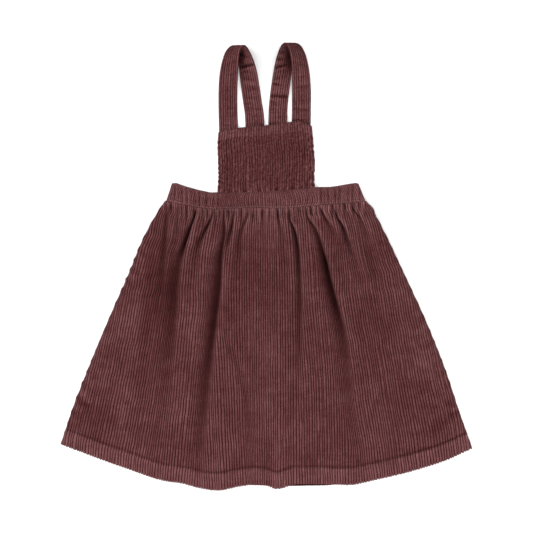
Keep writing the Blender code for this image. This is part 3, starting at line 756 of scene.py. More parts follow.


# Patches of lighter or darker pile: x, y, half width, half length, share. The short dark ones on the waist
# seam are painted shade in its small hollows.
frontPatches = (
    (-132, -30, 24, 62, -.15), (-218, -189, 26, 20, -.08), (-174, -178, 8, 34, .10),
    (-178, -66, 20, 16, .07), (160, -36, 18, 34, .08), (195, -124, 18, 12, .11),
    (170, -168, 24, 28, -.07), (-4, 50, 22, 20, .09), (-22, -8, 26, 16, -.06), (64, -132, 30, 40, .06),
    (36, -238, 84, 9, -.08), (8, -208, 14, 46, .06), (-60, -215, 14, 40, .05), (-204, -120, 14, 26, .05),
    (118, -120, 10, 50, -.06), (60, -30, 12, 30, .05), (-90, -80, 12, 40, .05), (216, -206, 18, 12, -.06),
    (-150, -215, 18, 12, -.05), (96, 50, 14, 14, .04), (-146, 28, 16, 40, -.07), (-48, 69, 8, 2, -.3),
    (39, 71, 6, 2, -.3), (108, 78, 9, 2.2, -.3), (-118, 66, 12, 12, -.1), (128, 64, 8, 10, -.1),
    (-4, -52, 30, 46, -.04), (196, -108, 7, 26, .08), (214, -196, 20, 9, -.03), (-60, -8, 8, 36, .13),
    (-96, 42, 6, 16, .06), (-214, -196, 16, 22, -.07), (150, 20, 14, 22, -.05),
)


edgeShade = {  # how much lighter the pile is, or darker if under 0
    "hem": 0.28,
    "hemLine": (-0.2, -0.1, -0.25),  # painted shade in the furrow along its stitches: everywhere, unevenly, and at the right end
    "sides": (0.10, 0.08),  # both, and what the right one has more: painted light on the right side, which the lamps leave in shade
    "seam": (0.3, 0.45),  # painted light just under the waist seam: everywhere, and more in the middle
    "waist": ((0.45, 0.03), (0.14, 0.1)),  # painted light further under it, where the waistband shades the cloth: shares, and how far down they reach
    # painted highlight on the pleats' ridges under the waist, painted shade between them
    "pleats": 0.6,
    "middle": -0.06,
}


def edgeTone(x, down, inside):  # lighter along the hem band and the side seams, with painted light on the right side; painted shade along the hem stitches, painted light under the waist seam, painted highlight and shade on its pleats, and darker in the upper middle
    stitch = skirt["hemStitch"]
    even, uneven, right = edgeShade["hemLine"]
    line = even + uneven * drift(x, 0.0, 70.0, 21) + right * ease(x, 150.0, 215.0)
    hem = edgeShade["hem"] * ease(down, stitch, stitch + 0.004) + line * bell(down - stitch + 0.002, 0.005)
    both, right = edgeShade["sides"]
    sides = (both + right * (x > 0)) * bell(inside, 16.0) * (0.5 + 0.5 * down)
    even, middle = edgeShade["seam"]
    waist = (even + middle * bell(x + 6, 60.0)) * bell(down, 0.012)
    for share, reach in edgeShade["waist"]:
        waist = waist + share * bell(down, reach)
    waist = waist + edgeShade["pleats"] * pleatField(x) * bell(down, 0.045)
    return hem + sides + waist + edgeShade["middle"] * (1 - ease(down, 0.1, 0.75)) * bell(x, 110.0)


sideCreases = (
    # pulled in by the side seams: x, y at each end, half width, share (under 0 a ridge)
    (224, -172, 238, -174, 2.6, .9), (226, -184, 239, -181, 2.4, .8), (236, -183, 203, -206, 6.0, .3),
    (227, -178, 238, -177.5, 2.0, -.7), (221, -153, 224, -166, 1.6, -.5), (225, -163, 232, -196, 1.8, .4),
    (196, -96, 204, -92, 2.0, .3), (186, -66, 196, -61, 2.0, .3), (208, -128, 216, -125, 1.8, .3),
    (-237, -163, -221, -176, 2.5, .8), (-234, -156, -220, -169, 2.2, -.5), (-238, -166, -249, -205, 1.6, .6),
    (-209, -106, -198, -115, 1.7, .4), (-197, -78, -184, -88, 1.7, .35), (-219, -129, -209, -139, 1.7, .4),
    (-186, -52, -175, -62, 1.8, .35), (-228, -146, -216, -155, 1.6, .35), (-176, -20, -166, -28, 1.8, .3),
)


def creaseField(x, y, creases):
    found = 0.0
    for startX, startY, endX, endY, wide, share in creases:
        runX, runY = endX - startX, endY - startY
        reach = math.hypot(runX, runY)
        along = ((x - startX) * runX + (y - startY) * runY) / reach
        across = ((x - startX) * runY - (y - startY) * runX) / reach
        ends = ease(along, -wide, wide) * ease(reach - along, -wide, wide)
        found = found + share * bell(across, wide) * ends
    return found


frontShade = {  # how much lighter the pile is, or darker if under 0
    "fold": (-0.38, -0.40, -0.3),  # painted shade in the folds: in step with a fold's depth, with its square, and near the waist
    "slit": -0.42,  # painted shade at the bottom of the deepest folds under the waist
    # painted highlight on the puckers at the side seams, painted shade between them
    "pucker": 0.2,
    # painted shade in the creases at the side seams, painted highlight on their ridges
    "crease": -0.5,
    "rim": (0.08, 0.25),  # painted highlight on the rims of the folds: everywhere, and more near the waist
    # painted highlight on the raised runs: everywhere, and more near the waist
    "swell": (0.11, 0.06),
    # weight of the lighter and darker patches
    "patchy": 1.4,
}


def frontTone(x, y, down, flat, stays, rims, raised, pulled, puckers):
    # painted shade and highlight that follow the folds, rims, runs, creases and puckers, with the edge tone
    # and the patches
    folded, nearWaist = 1 - stays, bell(down, 0.13)
    shallow, deep, gathered = frontShade["fold"]
    tone = shallow * folded + deep * folded**2 + gathered * folded * bell(down, 0.08)
    tone += frontShade["slit"] * folded**6 * bell(down, 0.22)
    tone += (edgeTone(x, down, fromSides(x, flat)) + frontShade["pucker"] * puckers
             + frontShade["crease"] * pulled)
    rim, swell = (even + more * nearWaist for even, more in (frontShade["rim"], frontShade["swell"]))
    return tone + (rims * rim + swell * raised + frontShade["patchy"] * patchTone(x, y, frontPatches))


def frontTaken(x, y, down):  # the share of cloth that the gathering thread and the side seams take up
    taken = 0.08 * ease(y, -5.0, 76.0) + 0.06 * (1 - pleatField(x)) * bell(down, 0.05)
    return taken + ease(np.abs(x), 100.0, 200.0) * (0.13 * ease(y, -230.0, -20.0) - 0.05)


def frontSurface(down):
    # the front's surface with its tone, the cloth taken up in each place and where each row starts
    flat, y = panelRow(down, frontHem)
    inside = fromSides(flat)
    narrow = 0.5 + 0.5 * ease(down, 0.01, 0.12)
    stays, rims, lean, tucked = foldField(flat, y, frontFolds, narrow, frontTucks)
    raised = swellField(flat, y, frontSwells)
    pulled = creaseField(flat, y, sideCreases)
    near, wave = sidePucker(flat, y, inside)

    height = read(loft, down) * stays
    height += rims * ease(down, 0.0, 0.03)
    height += skirt["pleatHeight"] * pleatField(flat) * (bell(down, 0.04) * ease(down, 0.0, 0.006))
    height += raised
    height += rumples(flat, y, skirt["rumples"]) * ease(down, 0.03, 0.2) * stays
    height = np.maximum(height - skirt["creaseDepth"] * pulled, 0.0) * sideSlope(inside)
    z = restLevel(down) + (height + skirt["puckerHeight"] * near * wave) + hemRise(down)

    x = flat - lean * ease(down, 0.0, 0.04) + near * wave * np.where(flat < 0, *skirt["puckerSway"])
    middle, wide, slant = skirt["hemSlip"]
    x = x + slant * bell(x - middle, wide) * np.maximum(down - skirt["hemStitch"], 0.0)
    tone = frontTone(x, y, down, flat, stays, rims, raised, pulled, near * wave)
    tucked += frontTaken(x, y, down) * np.gradient(x, axis=1)
    start = read(frontSway, y[:, y.shape[1] // 2]) + skirt["frontStart"]
    return withNormals(x, y, z, tone), tucked, start


def skirtFront():
    down = panelRows()
    surface, tucked, start = frontSurface(down[:, None])
    counts = waleColumns(skirt["frontWales"])
    along = down * skirt["length"]
    places = walePlaces(counts, skirt["frontWales"], skirt["waleSeed"], along)
    laid, inside = tuckAlong(surface, places, tucked, start, ease(down, -0.1, 0.35))
    crowded = np.abs(np.gradient(laid[:, :, 0], axis=1)) * perWale / cloth["walePitch"]
    drop = waleDrop(counts)[None, :] * ease(inside, 0.0, cloth["waleEnd"])
    drop = drop * np.clip(0.25 + crowded, 0.3, 1.0)  # crowded wales close up
    drop = drop * (1 + 0.18 * drift(laid[:, :, 0], laid[:, :, 1], 9.0, 8))
    face = ridgedFace(laid, drop, counts, along / cloth["walePitch"])
    face[-1, :, 1] -= teeth(drop[-1], skirt["teeth"])
    face[:, :, 6] = skirt["waistWear"] * bell(down, 0.04)[:, None]
    back = face[:, ::perWale].copy()
    floor = (restLevel(down) - cloth["thickness"] + 0.05)[:, None]
    back[:, :, 2] = np.maximum(laid[:, ::perWale, 2] - cloth["thickness"], floor)
    face = rollRows(face, skirt["edgeRadius"], -1.0)
    back = np.concatenate([back, np.repeat(back[-1:], 3, axis=0)])
    back[-4:, :, 1] += skirt["edgeRadius"]
    obj = makeWall("skirtFront", face, back)
    declare(obj, ["skirt_front"])
    return face, down


# The back panel lies on the floor with its face down: creases stand up into the cloth.
backFolds = {
    "long1": ((-96, 80, .8, 3, 3, 0), (-104, 30, .9, 5, 5, 0), (-118, -60, .6, 7, 7, 0),
              (-126, -130, 0, 8, 8, 0)),
    "long2": ((-41, 75, .9, 3, 2, 0), (-47, 20, .9, 4, 5, 0), (-58, -90, .8, 6, 8, 0),
              (-66, -200, 0, 8, 8, 0)),
    "long3": ((19, 75, .7, 3, 3, 0), (22, 20, .8, 5, 4, 0), (27, -60, .5, 7, 6, 0),
              (31, -120, 0, 8, 8, 0)),
    "long4": ((66, 78, .9, 3, 3, 0), (80, 20, .9, 5, 4, 0), (103, -80, .8, 8, 6, 0),
              (118, -180, 0, 8, 8, 0)),
    "long5": ((101, 80, .8, 2, 3, 0), (122, 30, .7, 4, 5, 0), (146, -40, .4, 6, 6, 0),
              (160, -90, 0, 8, 8, 0)),
}


def backCreases(x, y, down):
    creased = 1 - foldField(x, y, backFolds)[0]
    for i in range(skirt["backPleats"]):
        place = (i + 0.5 + 0.3 * math.sin(2.4 * i)) / skirt["backPleats"]
        reach = 0.055 + 0.03 * math.sin(5.1 * i + 1.0)
        width = 0.0075 + 0.0025 * math.sin(3.3 * i)
        pleat = (0.75 + 0.2 * math.sin(3.7 * i)) * bell(down, reach) * bell(shares - place, width)
        creased = np.maximum(creased, pleat)
    return creased


backShade = {  # how much lighter the pile is, or darker if under 0
    # painted shade in the creases
    "creases": -0.85,
    "underHem": (-0.85, 52.0, 27.0),  # in the front hem's shade: share, middle, half width
}


def backSurface(down):  # the back's underside with its tone, and the height of its inside
    flat, y = panelRow(down, backHem)
    inside = fromSides(flat)
    near, wave = sidePucker(flat, y, inside)
    creased = backCreases(flat, y, down)
    stand = (backStand(down) - 0.1) * creased
    z = stand + 0.8 * (1 - sideSlope(inside)) + 0.25 * near * (1 + wave) + hemFurrow(down)
    top = skirt["backCloth"] + stand + hemRise(down).clip(0.0)
    x = flat + 0.4 * near * wave * np.where(flat < 0, 1, -1)
    share, middle, wide = backShade["underHem"]
    tone = backShade["creases"] * creased**1.3 + edgeTone(x, down, fromSides(x, flat))
    tone += share * bell(x - middle, wide) * ease(down, 0.985, 0.992)
    return withNormals(x, y, z, tone, top)


def skirtBack():
    down = panelRows(skirt["backRows"])
    along = down * skirt["length"]
    surface, cut = backSurface(down[:, None]), between(skirt["waist"], skirt["hem"], down)
    laid, drop, counts = layWales(surface, cut, skirt["backWales"], skirt["waleSeed"], along)
    drop = drop * (0.8 + 0.15 * drift(laid[:, :, 0], laid[:, :, 1], 9.0, 9))
    face = ridgedFace(laid, drop, counts, along / cloth["walePitch"], 1.0)
    face[:, :, 2] = np.maximum(face[:, :, 2], 0.0)
    inside = face[:, ::2].copy()
    inside[:, :, 0] = laid[:, ::2, 0]
    inside[:, :, 2] = np.maximum(laid[:, ::2, 6], face[:, ::2, 2] + 0.4)
    tooth = teeth(drop[-1], 0.5 * skirt["teeth"])
    face[-1, :, 1] -= tooth
    inside[-1, :, 1] -= tooth[::2]
    face[-1, :, 1] += skirt["edgeRadius"]
    edge = inside[-1:].copy()
    edge[:, :, 2] -= 1.0
    inside[-1, :, 1] += skirt["edgeRadius"]
    face = np.concatenate([face, np.repeat(edge, 2, axis=1)[:, :-1]])
    face[-1, 1::2] = (face[-1, 0:-2:2] + face[-1, 2::2]) / 2
    inside = np.concatenate([inside, edge])
    inside[-1, :, 2] += 0.2
    # the fine grid is the underside here, so the two grids are handed over mirrored in turn
    obj = makeWall("skirtBack", face[:, ::-1], inside[:, ::-1])
    declare(obj, ["skirt_back"])
    return face, down


frontGrid, frontDown = skirtFront()
backGrid, backDown = skirtBack()


band = {
    "wales": 98,
    "waleSeed": 33,
    "cut": 311.0,  # drawn in to the waist by the elastic
    "deep": 26.0,
    "napLength": 10.0,
    "rows": ((1.0, 0.9, 5), (0.9, 0.22, 15), (0.22, 0.0, 11)),  # from the fold down to the seam
    "backRows": ((1.0, 0.0, 17),),
    "backTop": 2.4,
    "body": 1.5,
    "puff": 1.3,
    "ruche": 2.4,
    "ruches": (0.78, 1.2, 6.1, (0.7, 1.27, 1.0), (0.5, 2.6, 2.0)),
    "plainHalf": (48.0, 70.0),  # the ruches are weak behind the bib and full beside it
    "welt": 0.8,  # the folded lower edge that is stitched to the skirt
    "weltLine": (1.8, 4.2),  # how far up from the seam it stands, and where the stitches pull it in
    "pull": 0.9,
    "stitchUp": 0.14,  # their share of the way up
    "topRoll": 2.4,
    "endRoll": (5.0, 4.0),  # front, back
    "teeth": 0.35,
    "rubbed": (0.3, 0.35),  # front, back
}
bandTop = (
    # x, y
    (-118.1, 103.8), (-113.1, 104.4), (-99.4, 99.6), (-85.6, 95.8), (-69.4, 92.3), (-62.5, 92.6),
    (-10.6, 93.4), (61.5, 99.2), (79.4, 99.4), (88.1, 100.6), (103.1, 103.3), (112.5, 104.4),
    (115.0, 103.1),
)
bandFoot = (-125.4, 124.0)


bandShade = {  # how much lighter the pile of its front is
    "all": 0.31,
    "welt": (0.65, 0.45),  # painted highlight on the folded welt: everywhere, and more in the middle
    "stitches": 0.25,
    "beside": (50.0, 66.0),  # where the part beside the bib begins
    "sides": 0.46,
    "ruches": (0.7, 0.1),  # painted shade between them: beside the bib, and everywhere
    "top": 0.06,
}


def bandPlaces(up):  # places across the band, and how far they are from its fold and its seam
    lowX, highX = between(*bandFoot, shares), between(bandTop[0][0], bandTop[-1][0], shares)
    lowY, highY = read(waistSeam, lowX) - 0.3, straightRead(bandTop, highX)
    tall = highY - lowY
    return between(lowX, highX, up), between(lowY, highY, up), (1 - up) * tall, up * tall


def rucheField(x, up):  # upright ridges drawn up by the elastic, strongest beside the bib
    slant = x + (up - 0.5) * (1.5 * np.sin(x / 9.0))
    atSides = 0.35 + 0.65 * ease(np.abs(x), *band["plainHalf"])
    return atSides * np.clip(0.5 + 0.33 * gathers(slant, *band["ruches"]), 0.0, 1.0)


def layBand(surface, up, depth, side):
    along = up * band["deep"]
    laid, drop, counts = layWales(surface, band["cut"], band["wales"], band["waleSeed"], along, depth)
    return ridgedFace(laid, drop, counts, (1 - up) * band["napLength"], side), drop


def bandFront():
    rows = rowsAlong(band["rows"])
    up = rows[:, None]
    x, y, fromTop, fromFoot = bandPlaces(up)
    ridges = rucheField(x, up)
    welt, pulledIn = band["weltLine"]
    arch = 1 - np.abs(2 * up - 1) ** 3
    height = band["body"] + band["puff"] * arch + band["ruche"] * ridges * (0.3 + 0.7 * arch)
    height = height * rolled(fromTop, band["topRoll"])
    height += band["welt"] * bell(fromFoot - welt, 1.3) - band["pull"] * bell(fromFoot - pulledIn, 0.8)
    height = 0.3 + height * rolled(fromSides(x), band["endRoll"][0])
    z = band["backTop"] + cloth["layerGap"] + height
    even, middle = bandShade["welt"]
    tone = bandShade["all"] + (even + middle * bell(x + 6, 60.0)) * bell(fromFoot - 1.3, 1.6)
    tone += bandShade["stitches"] * bell(fromFoot - pulledIn, 1.2)
    atSides = ease(np.abs(x), *bandShade["beside"])
    beside, behind = bandShade["ruches"]
    tone += bandShade["sides"] * atSides - (beside * atSides + behind) * (1 - ridges) * arch
    tone += bandShade["top"] * bell(fromTop, 3.0)
    face, drop = layBand(withNormals(x, y, z, tone), rows, 0.75, -1.0)
    face[0, :, 1] += teeth(drop[0], band["teeth"])
    under = face[:, ::perWale].copy()
    under[:, :, 2] = band["backTop"] + cloth["layerGap"]
    obj = makeWall("waistbandFront", face, under, band["rubbed"][0])
    declare(obj, ["waistband_front"])
    return face, rows


def bandBack():
    rows = rowsAlong(band["backRows"])
    up = rows[:, None]
    x, y, fromTop, fromFoot = bandPlaces(up)
    welt, pulledIn = band["weltLine"]
    ridges = rucheField(-x + 11.0, up)
    rim = np.maximum(bell(fromTop, 1.6), bell(fromFoot, 1.2))
    ends = rolled(fromSides(x), band["endRoll"][1])
    z = 0.7 * (1 - ridges) + 0.6 * rim + 0.6 * (1 - ends) + 0.4 * bell(fromFoot - pulledIn, 0.9)
    # painted highlight along the welt
    tone = 0.14 * bell(fromFoot - welt, 1.6)
    face = layBand(withNormals(x, y - 0.2 * up, z, tone), rows, 0.6, 1.0)[0]
    face[:, :, 2] = np.maximum(face[:, :, 2], 0.0)
    inside = face[:, ::perWale].copy()
    inside[:, :, 2] = band["backTop"]
    obj = makeWall("waistbandBack", face[:, ::-1], inside[:, ::-1], band["rubbed"][1])
    declare(obj, ["waistband_back"])


bandGrid, bandUp = bandFront()
bandBack()


bib = {
    "wales": 38,
    "waleSeed": 35,
    "cut": 120.65,
    "deep": 98.0,
    "napLength": 27.0,
    "rows": ((0.0, 0.12, 11), (0.12, 0.17, 7), (0.17, 1.0, 75)),
    "floor": 3.5,  # it lies on the ends of the straps
    "sink": 2.7,  # and sinks to the surface beside them
    "straps": (27.0, 50.0),  # from where it starts to sink to where it is down
    "sideHem": 11.0,
    "topHem": 0.145,  # share of the way down
    "hemExtra": 0.8,
    "furrow": 0.22,
    "crinkle": 0.62,
    "pinch": 0.8,
    "rim": 0.25,
    "edgeRoll": 1.6,
    "edgeRadius": 1.0,
    "footDrop": 0.9,
    "pinches": (1.35, 1.5, 9.0),
    "rumples": ((0.35, 26.0, 12, 1.0), (0.28, 10.0, 15, 1.8)),
    "dents": (0.16, 4.5, 16, 1.0),
    "sway": ((0.6, 34.0, 17, 1.0), (0.3, 12.0, 18, 1.0)),
    "teeth": 0.3,
    "rubbed": 0.6,
}
bibTop = (
    # x, y
    (-60.0, 167.8), (-36.3, 173.2), (-2.4, 176.0), (31.3, 180.6), (41.9, 182.0), (57.0, 175.4),
)
bibSides = (
    # down, left, right
    (0.0, -60.0, 56.6), (0.12, -60.9, 57.6), (0.3, -61.3, 58.8), (0.5, -60.6, 60.0), (0.65, -60.3, 60.6),
    (0.82, -60.6, 60.0), (1.0, -61.4, 60.0),
)
bibFoot = (
    # x, y
    (-61.4, 93.1), (-10.6, 93.8), (60.0, 99.6),
)


bibPatches = (
    # x, y, half width, half length, share
    (-43, 130, 8, 30, -.10), (-2, 125, 5, 24, .10), (32, 150, 12, 14, -.08), (39, 124, 6, 24, -.09),
    (16, 120, 6, 26, .05), (-25, 120, 5, 25, .06), (-44, 168, 10, 5, .08), (20, 168, 18, 4, .06),
    (-20, 158, 22, 6, -.05), (51, 150, 6, 12, .03), (-54, 120, 5, 10, -.06), (54, 120, 5, 30, -.05),
)


bibShade = {  # how much lighter the pile is, or darker if under 0
    "all": -0.06,
    "topHem": 0.28,
    "sideHem": 0.12,
    # painted shade in the furrow along the hem stitches
    "furrow": -0.14,
    # painted highlight on the crinkles' crests, painted shade in their troughs
    "crinkles": 0.38,
    # painted highlight on the pinches at the foot, painted shade between them
    "pinches": 0.55,
    "foot": 0.12,
    "edge": 0.14,
    # painted shade and highlight that follow the face's rumples and dents
    "rumples": ((0.14, 10.0, 15, 1.8), (0.08, 4.5, 16, 1.0)),
}


def bibPlaces(down):
    left, right = read(bibSides, down, 1), read(bibSides, down, 2)
    topX, footX = (between(row[0][0], row[-1][0], shares) for row in (bibTop, bibFoot))
    y = (1 - down) * straightRead(bibTop, topX) + down * (read(bibFoot, footX) - bib["footDrop"])
    return between(left, right, shares), y


def bibSurface(down):  # the bib's face with its tone, and how high it lies on the straps
    x, y = bibPlaces(down)
    fromSide = fromSides(x)
    aside = ease(np.abs(x), *bib["straps"])
    low = bib["floor"] - bib["sink"] * aside * ease(down, 0.2, 0.45) * (1 - ease(down, 0.75, 1.0))
    sideHem = 1 - ease(fromSide, bib["sideHem"] - 1.2, bib["sideHem"])
    topHem = 1 - ease(down, bib["topHem"], bib["topHem"] + 0.015)
    furrow = np.maximum(bell(fromSide - bib["sideHem"] + 0.3, 0.8) * (down > bib["topHem"]),
                        bell(down - bib["topHem"] - 0.004, 0.009))
    # short cross creases along the sides, and pinches drawn up along the foot
    crinkle = np.sin(y / 1.12 + 2.2 * np.sin(y / 7.9 + 0.03 * x) + 0.25 * fromSide * np.sin(y / 9.1 + x))
    crinkle = 0.75 * crinkle * (0.65 + 0.35 * np.sin(y / 7.7 + x / 60.0)) + 0.6 * drift(x * 1.3, y, 7.5, 19)
    nearSide = bell(np.maximum(fromSide - 6.0, 0.0), 4.0) * ease(down, 0.06, 0.2)
    pinches = np.clip(gathers(x, *bib["pinches"]) * 0.7 + 0.5 * np.sin(x / 3.1 + 1.0), -1, 1)
    nearFoot = bell(1 - down, 0.085)
    below = ease(down, 0.1, 0.25)

    height = cloth["thickness"] + bib["hemExtra"] * np.maximum(sideHem, topHem)
    height = height + bib["crinkle"] * crinkle * nearSide - bib["furrow"] * furrow
    height += bib["pinch"] * pinches * nearFoot
    height += rumples(x, y, bib["rumples"]) * below + rumples(x, y, [bib["dents"]])
    z = low + bib["rim"] + (height - bib["rim"]) * rolled(fromSide, bib["edgeRoll"])
    x = x + rumples(x, y, bib["sway"]) * ease(fromSide, 0.0, 12.0)
    x = x + 0.5 * crinkle * bell(fromSide, 5.0) * np.where(x < 0, 1, -1) * below
    tone = bibShade["topHem"] * topHem + bibShade["sideHem"] * sideHem + bibShade["furrow"] * furrow
    tone = tone + bibShade["all"] + bibShade["crinkles"] * crinkle * nearSide
    tone += (bibShade["pinches"] * pinches * nearFoot + bibShade["foot"] * nearFoot
             + bibShade["edge"] * bell(fromSide, 1.5))
    tone += rumples(x, y, bibShade["rumples"]) + patchTone(x, y, bibPatches)
    return withNormals(x, y, z, tone, low)


def makeBib():
    down = rowsAlong(bib["rows"])
    surface = bibSurface(down[:, None])
    laid, drop, counts = layWales(surface, bib["cut"], bib["wales"], bib["waleSeed"], down * bib["deep"])
    drop = drop * (1 + 0.2 * drift(laid[:, :, 0], laid[:, :, 1], 8.0, 14))
    face = ridgedFace(laid, drop, counts, down * bib["napLength"])
    face[0, :, 1] += teeth(drop[0], bib["teeth"])
    under = face[:, ::perWale].copy()
    under[:, :, 0] = laid[:, ::perWale, 0]
    under[:, :, 2] = laid[:, ::perWale, 6]
    face = rollRows(face[::-1], bib["edgeRadius"], 1.0)[::-1]
    under = np.concatenate([np.repeat(under[:1], 3, axis=0), under])
    under[:4, :, 1] -= bib["edgeRadius"]
    obj = makeWall("bibFront", face, under, bib["rubbed"])
    declare(obj, ["bib"])


makeBib()

strap = {
    "wales": 8,
    "half": 1.6,  # half the thickness of the folded ribbon
    "flat": 23.6,  # its width between the rounded edges
    "pattern": 24.0,
    "edgeRoll": 1.7,
    "groove": 0.55,
    "jitter": 0.09,
    "limit": 0.16,
    "steps": 14,
    "perWale": 6,
    "crinkles": ((0.16, 7.0, 2.2), (0.10, 2.6, 1.0)),  # height, span and how much shorter than wide
    "rubbed": 0.3,
}
strapLeft = (
    # outer edge x, y, z, inner edge x, y, z
    (-58.8, 157.2, 1.6, -35.2, 158.4, 1.6),
    (-59.8, 190.0, 1.6, -36.2, 190.0, 1.6),
    (-60.0, 216.0, 2.2, -36.4, 216.0, 3.4),
    (-58.8, 236.9, 5.6, -35.6, 236.9, 9.6),
    (-56.4, 251.9, 7.8, -34.6, 253.1, 16.0),
    (-52.6, 264.2, 6.9, -33.2, 265.2, 20.2),
    (-47.6, 272.0, 4.8, -30.6, 271.8, 21.4),
    (-41.6, 275.0, 3.0, -26.7, 273.8, 21.4),
    (-36.4, 272.8, 2.2, -22.2, 268.6, 21.2),
    (-35.4, 265.0, 1.9, -18.2, 260.8, 20.4),
    (-35.3, 256.4, 1.8, -14.8, 252.8, 16.6),
    (-34.2, 245.0, 1.7, -12.0, 243.4, 10.8),
    (-32.6, 230.0, 1.6, -9.4, 229.0, 5.6),
    (-29.6, 207.6, 1.6, -6.0, 207.0, 2.0),
    (-26.4, 178.1, 1.6, -2.6, 177.6, 1.6),
    (-25.0, 93.8, 1.6, -1.1, 94.6, 1.6),
)
strapRight = (
    # outer edge x, y, z, inner edge x, y, z
    (55.0, 169.8, 1.6, 31.3, 170.6, 1.6),
    (55.4, 196.0, 1.6, 31.8, 196.0, 1.6),
    (55.5, 218.0, 2.2, 31.8, 218.0, 3.4),
    (54.2, 238.1, 4.8, 31.6, 238.1, 10.4),
    (51.9, 252.8, 7.2, 30.8, 253.6, 17.0),
    (48.5, 264.6, 6.4, 28.8, 265.8, 19.6),
    (43.6, 273.9, 4.4, 25.7, 273.6, 20.4),
    (37.6, 277.9, 2.8, 21.8, 277.0, 20.8),
    (32.4, 276.2, 2.2, 17.4, 272.2, 21.0),
    (31.4, 268.8, 1.9, 14.0, 264.0, 20.4),
    (32.0, 260.2, 1.8, 11.4, 255.4, 17.2),
    (31.9, 248.0, 1.7, 8.9, 244.0, 11.6),
    (30.2, 232.0, 1.6, 6.6, 230.0, 6.4),
    (27.2, 208.0, 1.6, 3.7, 207.4, 2.0),
    (26.0, 183.0, 1.6, 2.3, 182.6, 1.6),
    (25.0, 96.8, 1.6, 1.1, 94.8, 1.6),
)


def through(points, steps):  # a smooth curve through the points
    points = np.asarray(points, float)
    ends = np.vstack([2 * points[0] - points[1], points, 2 * points[-1] - points[-2]])
    found = []
    for i in range(1, len(ends) - 2):
        a, b, c, d = ends[i - 1 : i + 3]
        for k in range(steps):
            t = k / steps
            square = (2 * a - 5 * b + 4 * c - d) * t**2
            cube = (3 * b - a - 3 * c + d) * t**3
            found.append(0.5 * (2 * b + (c - a) * t + square + cube))
    found.append(points[-1])
    return np.array(found)


def strapCreases(creases, at, across):  # depth of the cross creases at one place along the strap
    depth = np.zeros_like(across)
    for place, deep, reach, slant, middle, spread in creases:
        away = at - place - slant * (across - 0.5)
        depth += deep * bell(away, 1.25 * reach) * bell(across - middle, spread)
        depth -= 0.5 * deep * bell(away - 2.6 * reach, 1.5 * reach) * bell(across - middle, spread)
    return depth


def strapRoute(table):  # its outer edge, the way across, the way it faces and the length so far
    route = through(table, strap["steps"])
    route[:, [2, 5]] = np.maximum(route[:, [2, 5]], strap["half"])
    outer, inner = route[:, :3], route[:, 3:]
    middle = (outer + inner) / 2
    length = np.append(0.0, np.cumsum(np.linalg.norm(np.diff(middle, axis=0), axis=1)))
    facing = np.cross(inner - outer, np.gradient(middle, axis=0))
    facing /= np.linalg.norm(facing, axis=1)[:, None]
    return outer, inner - outer, -facing if facing[0][2] < 0 else facing, length


def strapWales(seed):  # wale counts across the ribbon, and where each lies
    wales, limit = strap["wales"], strap["limit"]
    counts = np.linspace(0.0, 1.0, wales * strap["perWale"] + 1) * wales
    shift = np.random.default_rng(seed).normal(0.0, strap["jitter"], wales + 1).clip(-limit, limit)
    shift[[0, -1]] = 0.0
    return counts, (counts + np.interp(counts, np.arange(wales + 1), shift)) / wales


strapShade = {  # how much lighter the pile is, or darker if under 0
    "all": 0.18,
    "past": 0.07,  # and what it has more past the loop
    # painted shade in the cross creases, painted highlight where they rise
    "creases": -1.1,
    # painted highlight and shade on the crinkles
    "crinkles": 0.4,
    # painted light along the rounded edges, which the lamps leave in shade
    "edge": 0.14,
    "grooves": (-0.2, -0.2),  # painted shade in the wale grooves: everywhere, and more before the loop
    "tuckedIn": (-0.5, 0.35),  # painted shadow where it goes in under the bib, and the share of it before the loop
}


def strapSection(place, across, drop, creases, loop, seed):
    # how far face and underside stand off the middle of the ribbon, and the tone across it
    fromEdge = np.minimum(across, 1 - across) * strap["flat"]
    pressed = strapCreases(creases, place, across)
    crinkles = [(high, span, seed + k, short) for k, (high, span, short) in enumerate(strap["crinkles"], 1)]
    crinkle = rumples(place + 0 * across, across * strap["pattern"], crinkles)
    lift = ease(fromEdge, 0.0, 2.5)
    turned = ease(place, loop["at"] - 25.0, loop["at"] - 5.0)  # past the loop the other face is up
    body = strap["half"] * rolled(fromEdge, strap["edgeRoll"]) - drop * ease(fromEdge, 0.0, 1.2)
    top = body + (crinkle - pressed * (1 - 0.8 * turned)) * lift
    low = body + (crinkle * (0.4 + 0.6 * turned) - pressed * (0.2 + 0.8 * turned)) * lift
    top = np.clip(top, 0.12, strap["half"] + 0.35 * (1 - turned))
    low = np.clip(low, 0.0, strap["half"] + 0.35 * turned)
    inside = loop["dark"] * bell(place - loop["at"], loop["reach"]) * (1 - ease(across, 0.15, 0.75))
    shade = strapShade["all"] + strapShade["past"] * ease(place, loop["at"], loop["at"] + 20.0)
    shade = shade + strapShade["creases"] * np.clip(pressed, -0.3, 0.7) - inside
    shade = shade + strapShade["edge"] * bell(fromEdge, 1.2)
    even, more = strapShade["grooves"]
    grooves = (even + more * bell(place - loop["at"] + 28.0, 18.0)) * drop / strap["groove"]
    return top[:, None], low[:, None], shade + (strapShade["crinkles"] * crinkle + grooves)


def roundTrip(there, back):  # across the face and back along the underside
    return np.concatenate([there, back[1:-1][::-1]])


def tubeFaces(count, around, half):  # rings joined to a closed tube that is flat at both ends
    row, col = np.mgrid[0 : count - 1, 0:around]
    corner, beside = row * around + col, row * around + (col + 1) % around
    faces = np.stack([corner, beside, beside + around, corner + around], -1).reshape(-1, 4).tolist()
    for first, turned in ((0, True), ((count - 1) * around, False)):
        for k in range(half - 1):
            low = [first + (around - k if k else 0), first + (around - k - 1 if k < half - 2 else half - 1)]
            quad = list(dict.fromkeys([first + k, first + k + 1, low[1], low[0]]))
            faces.append(quad[::-1] if turned else quad)
    return faces


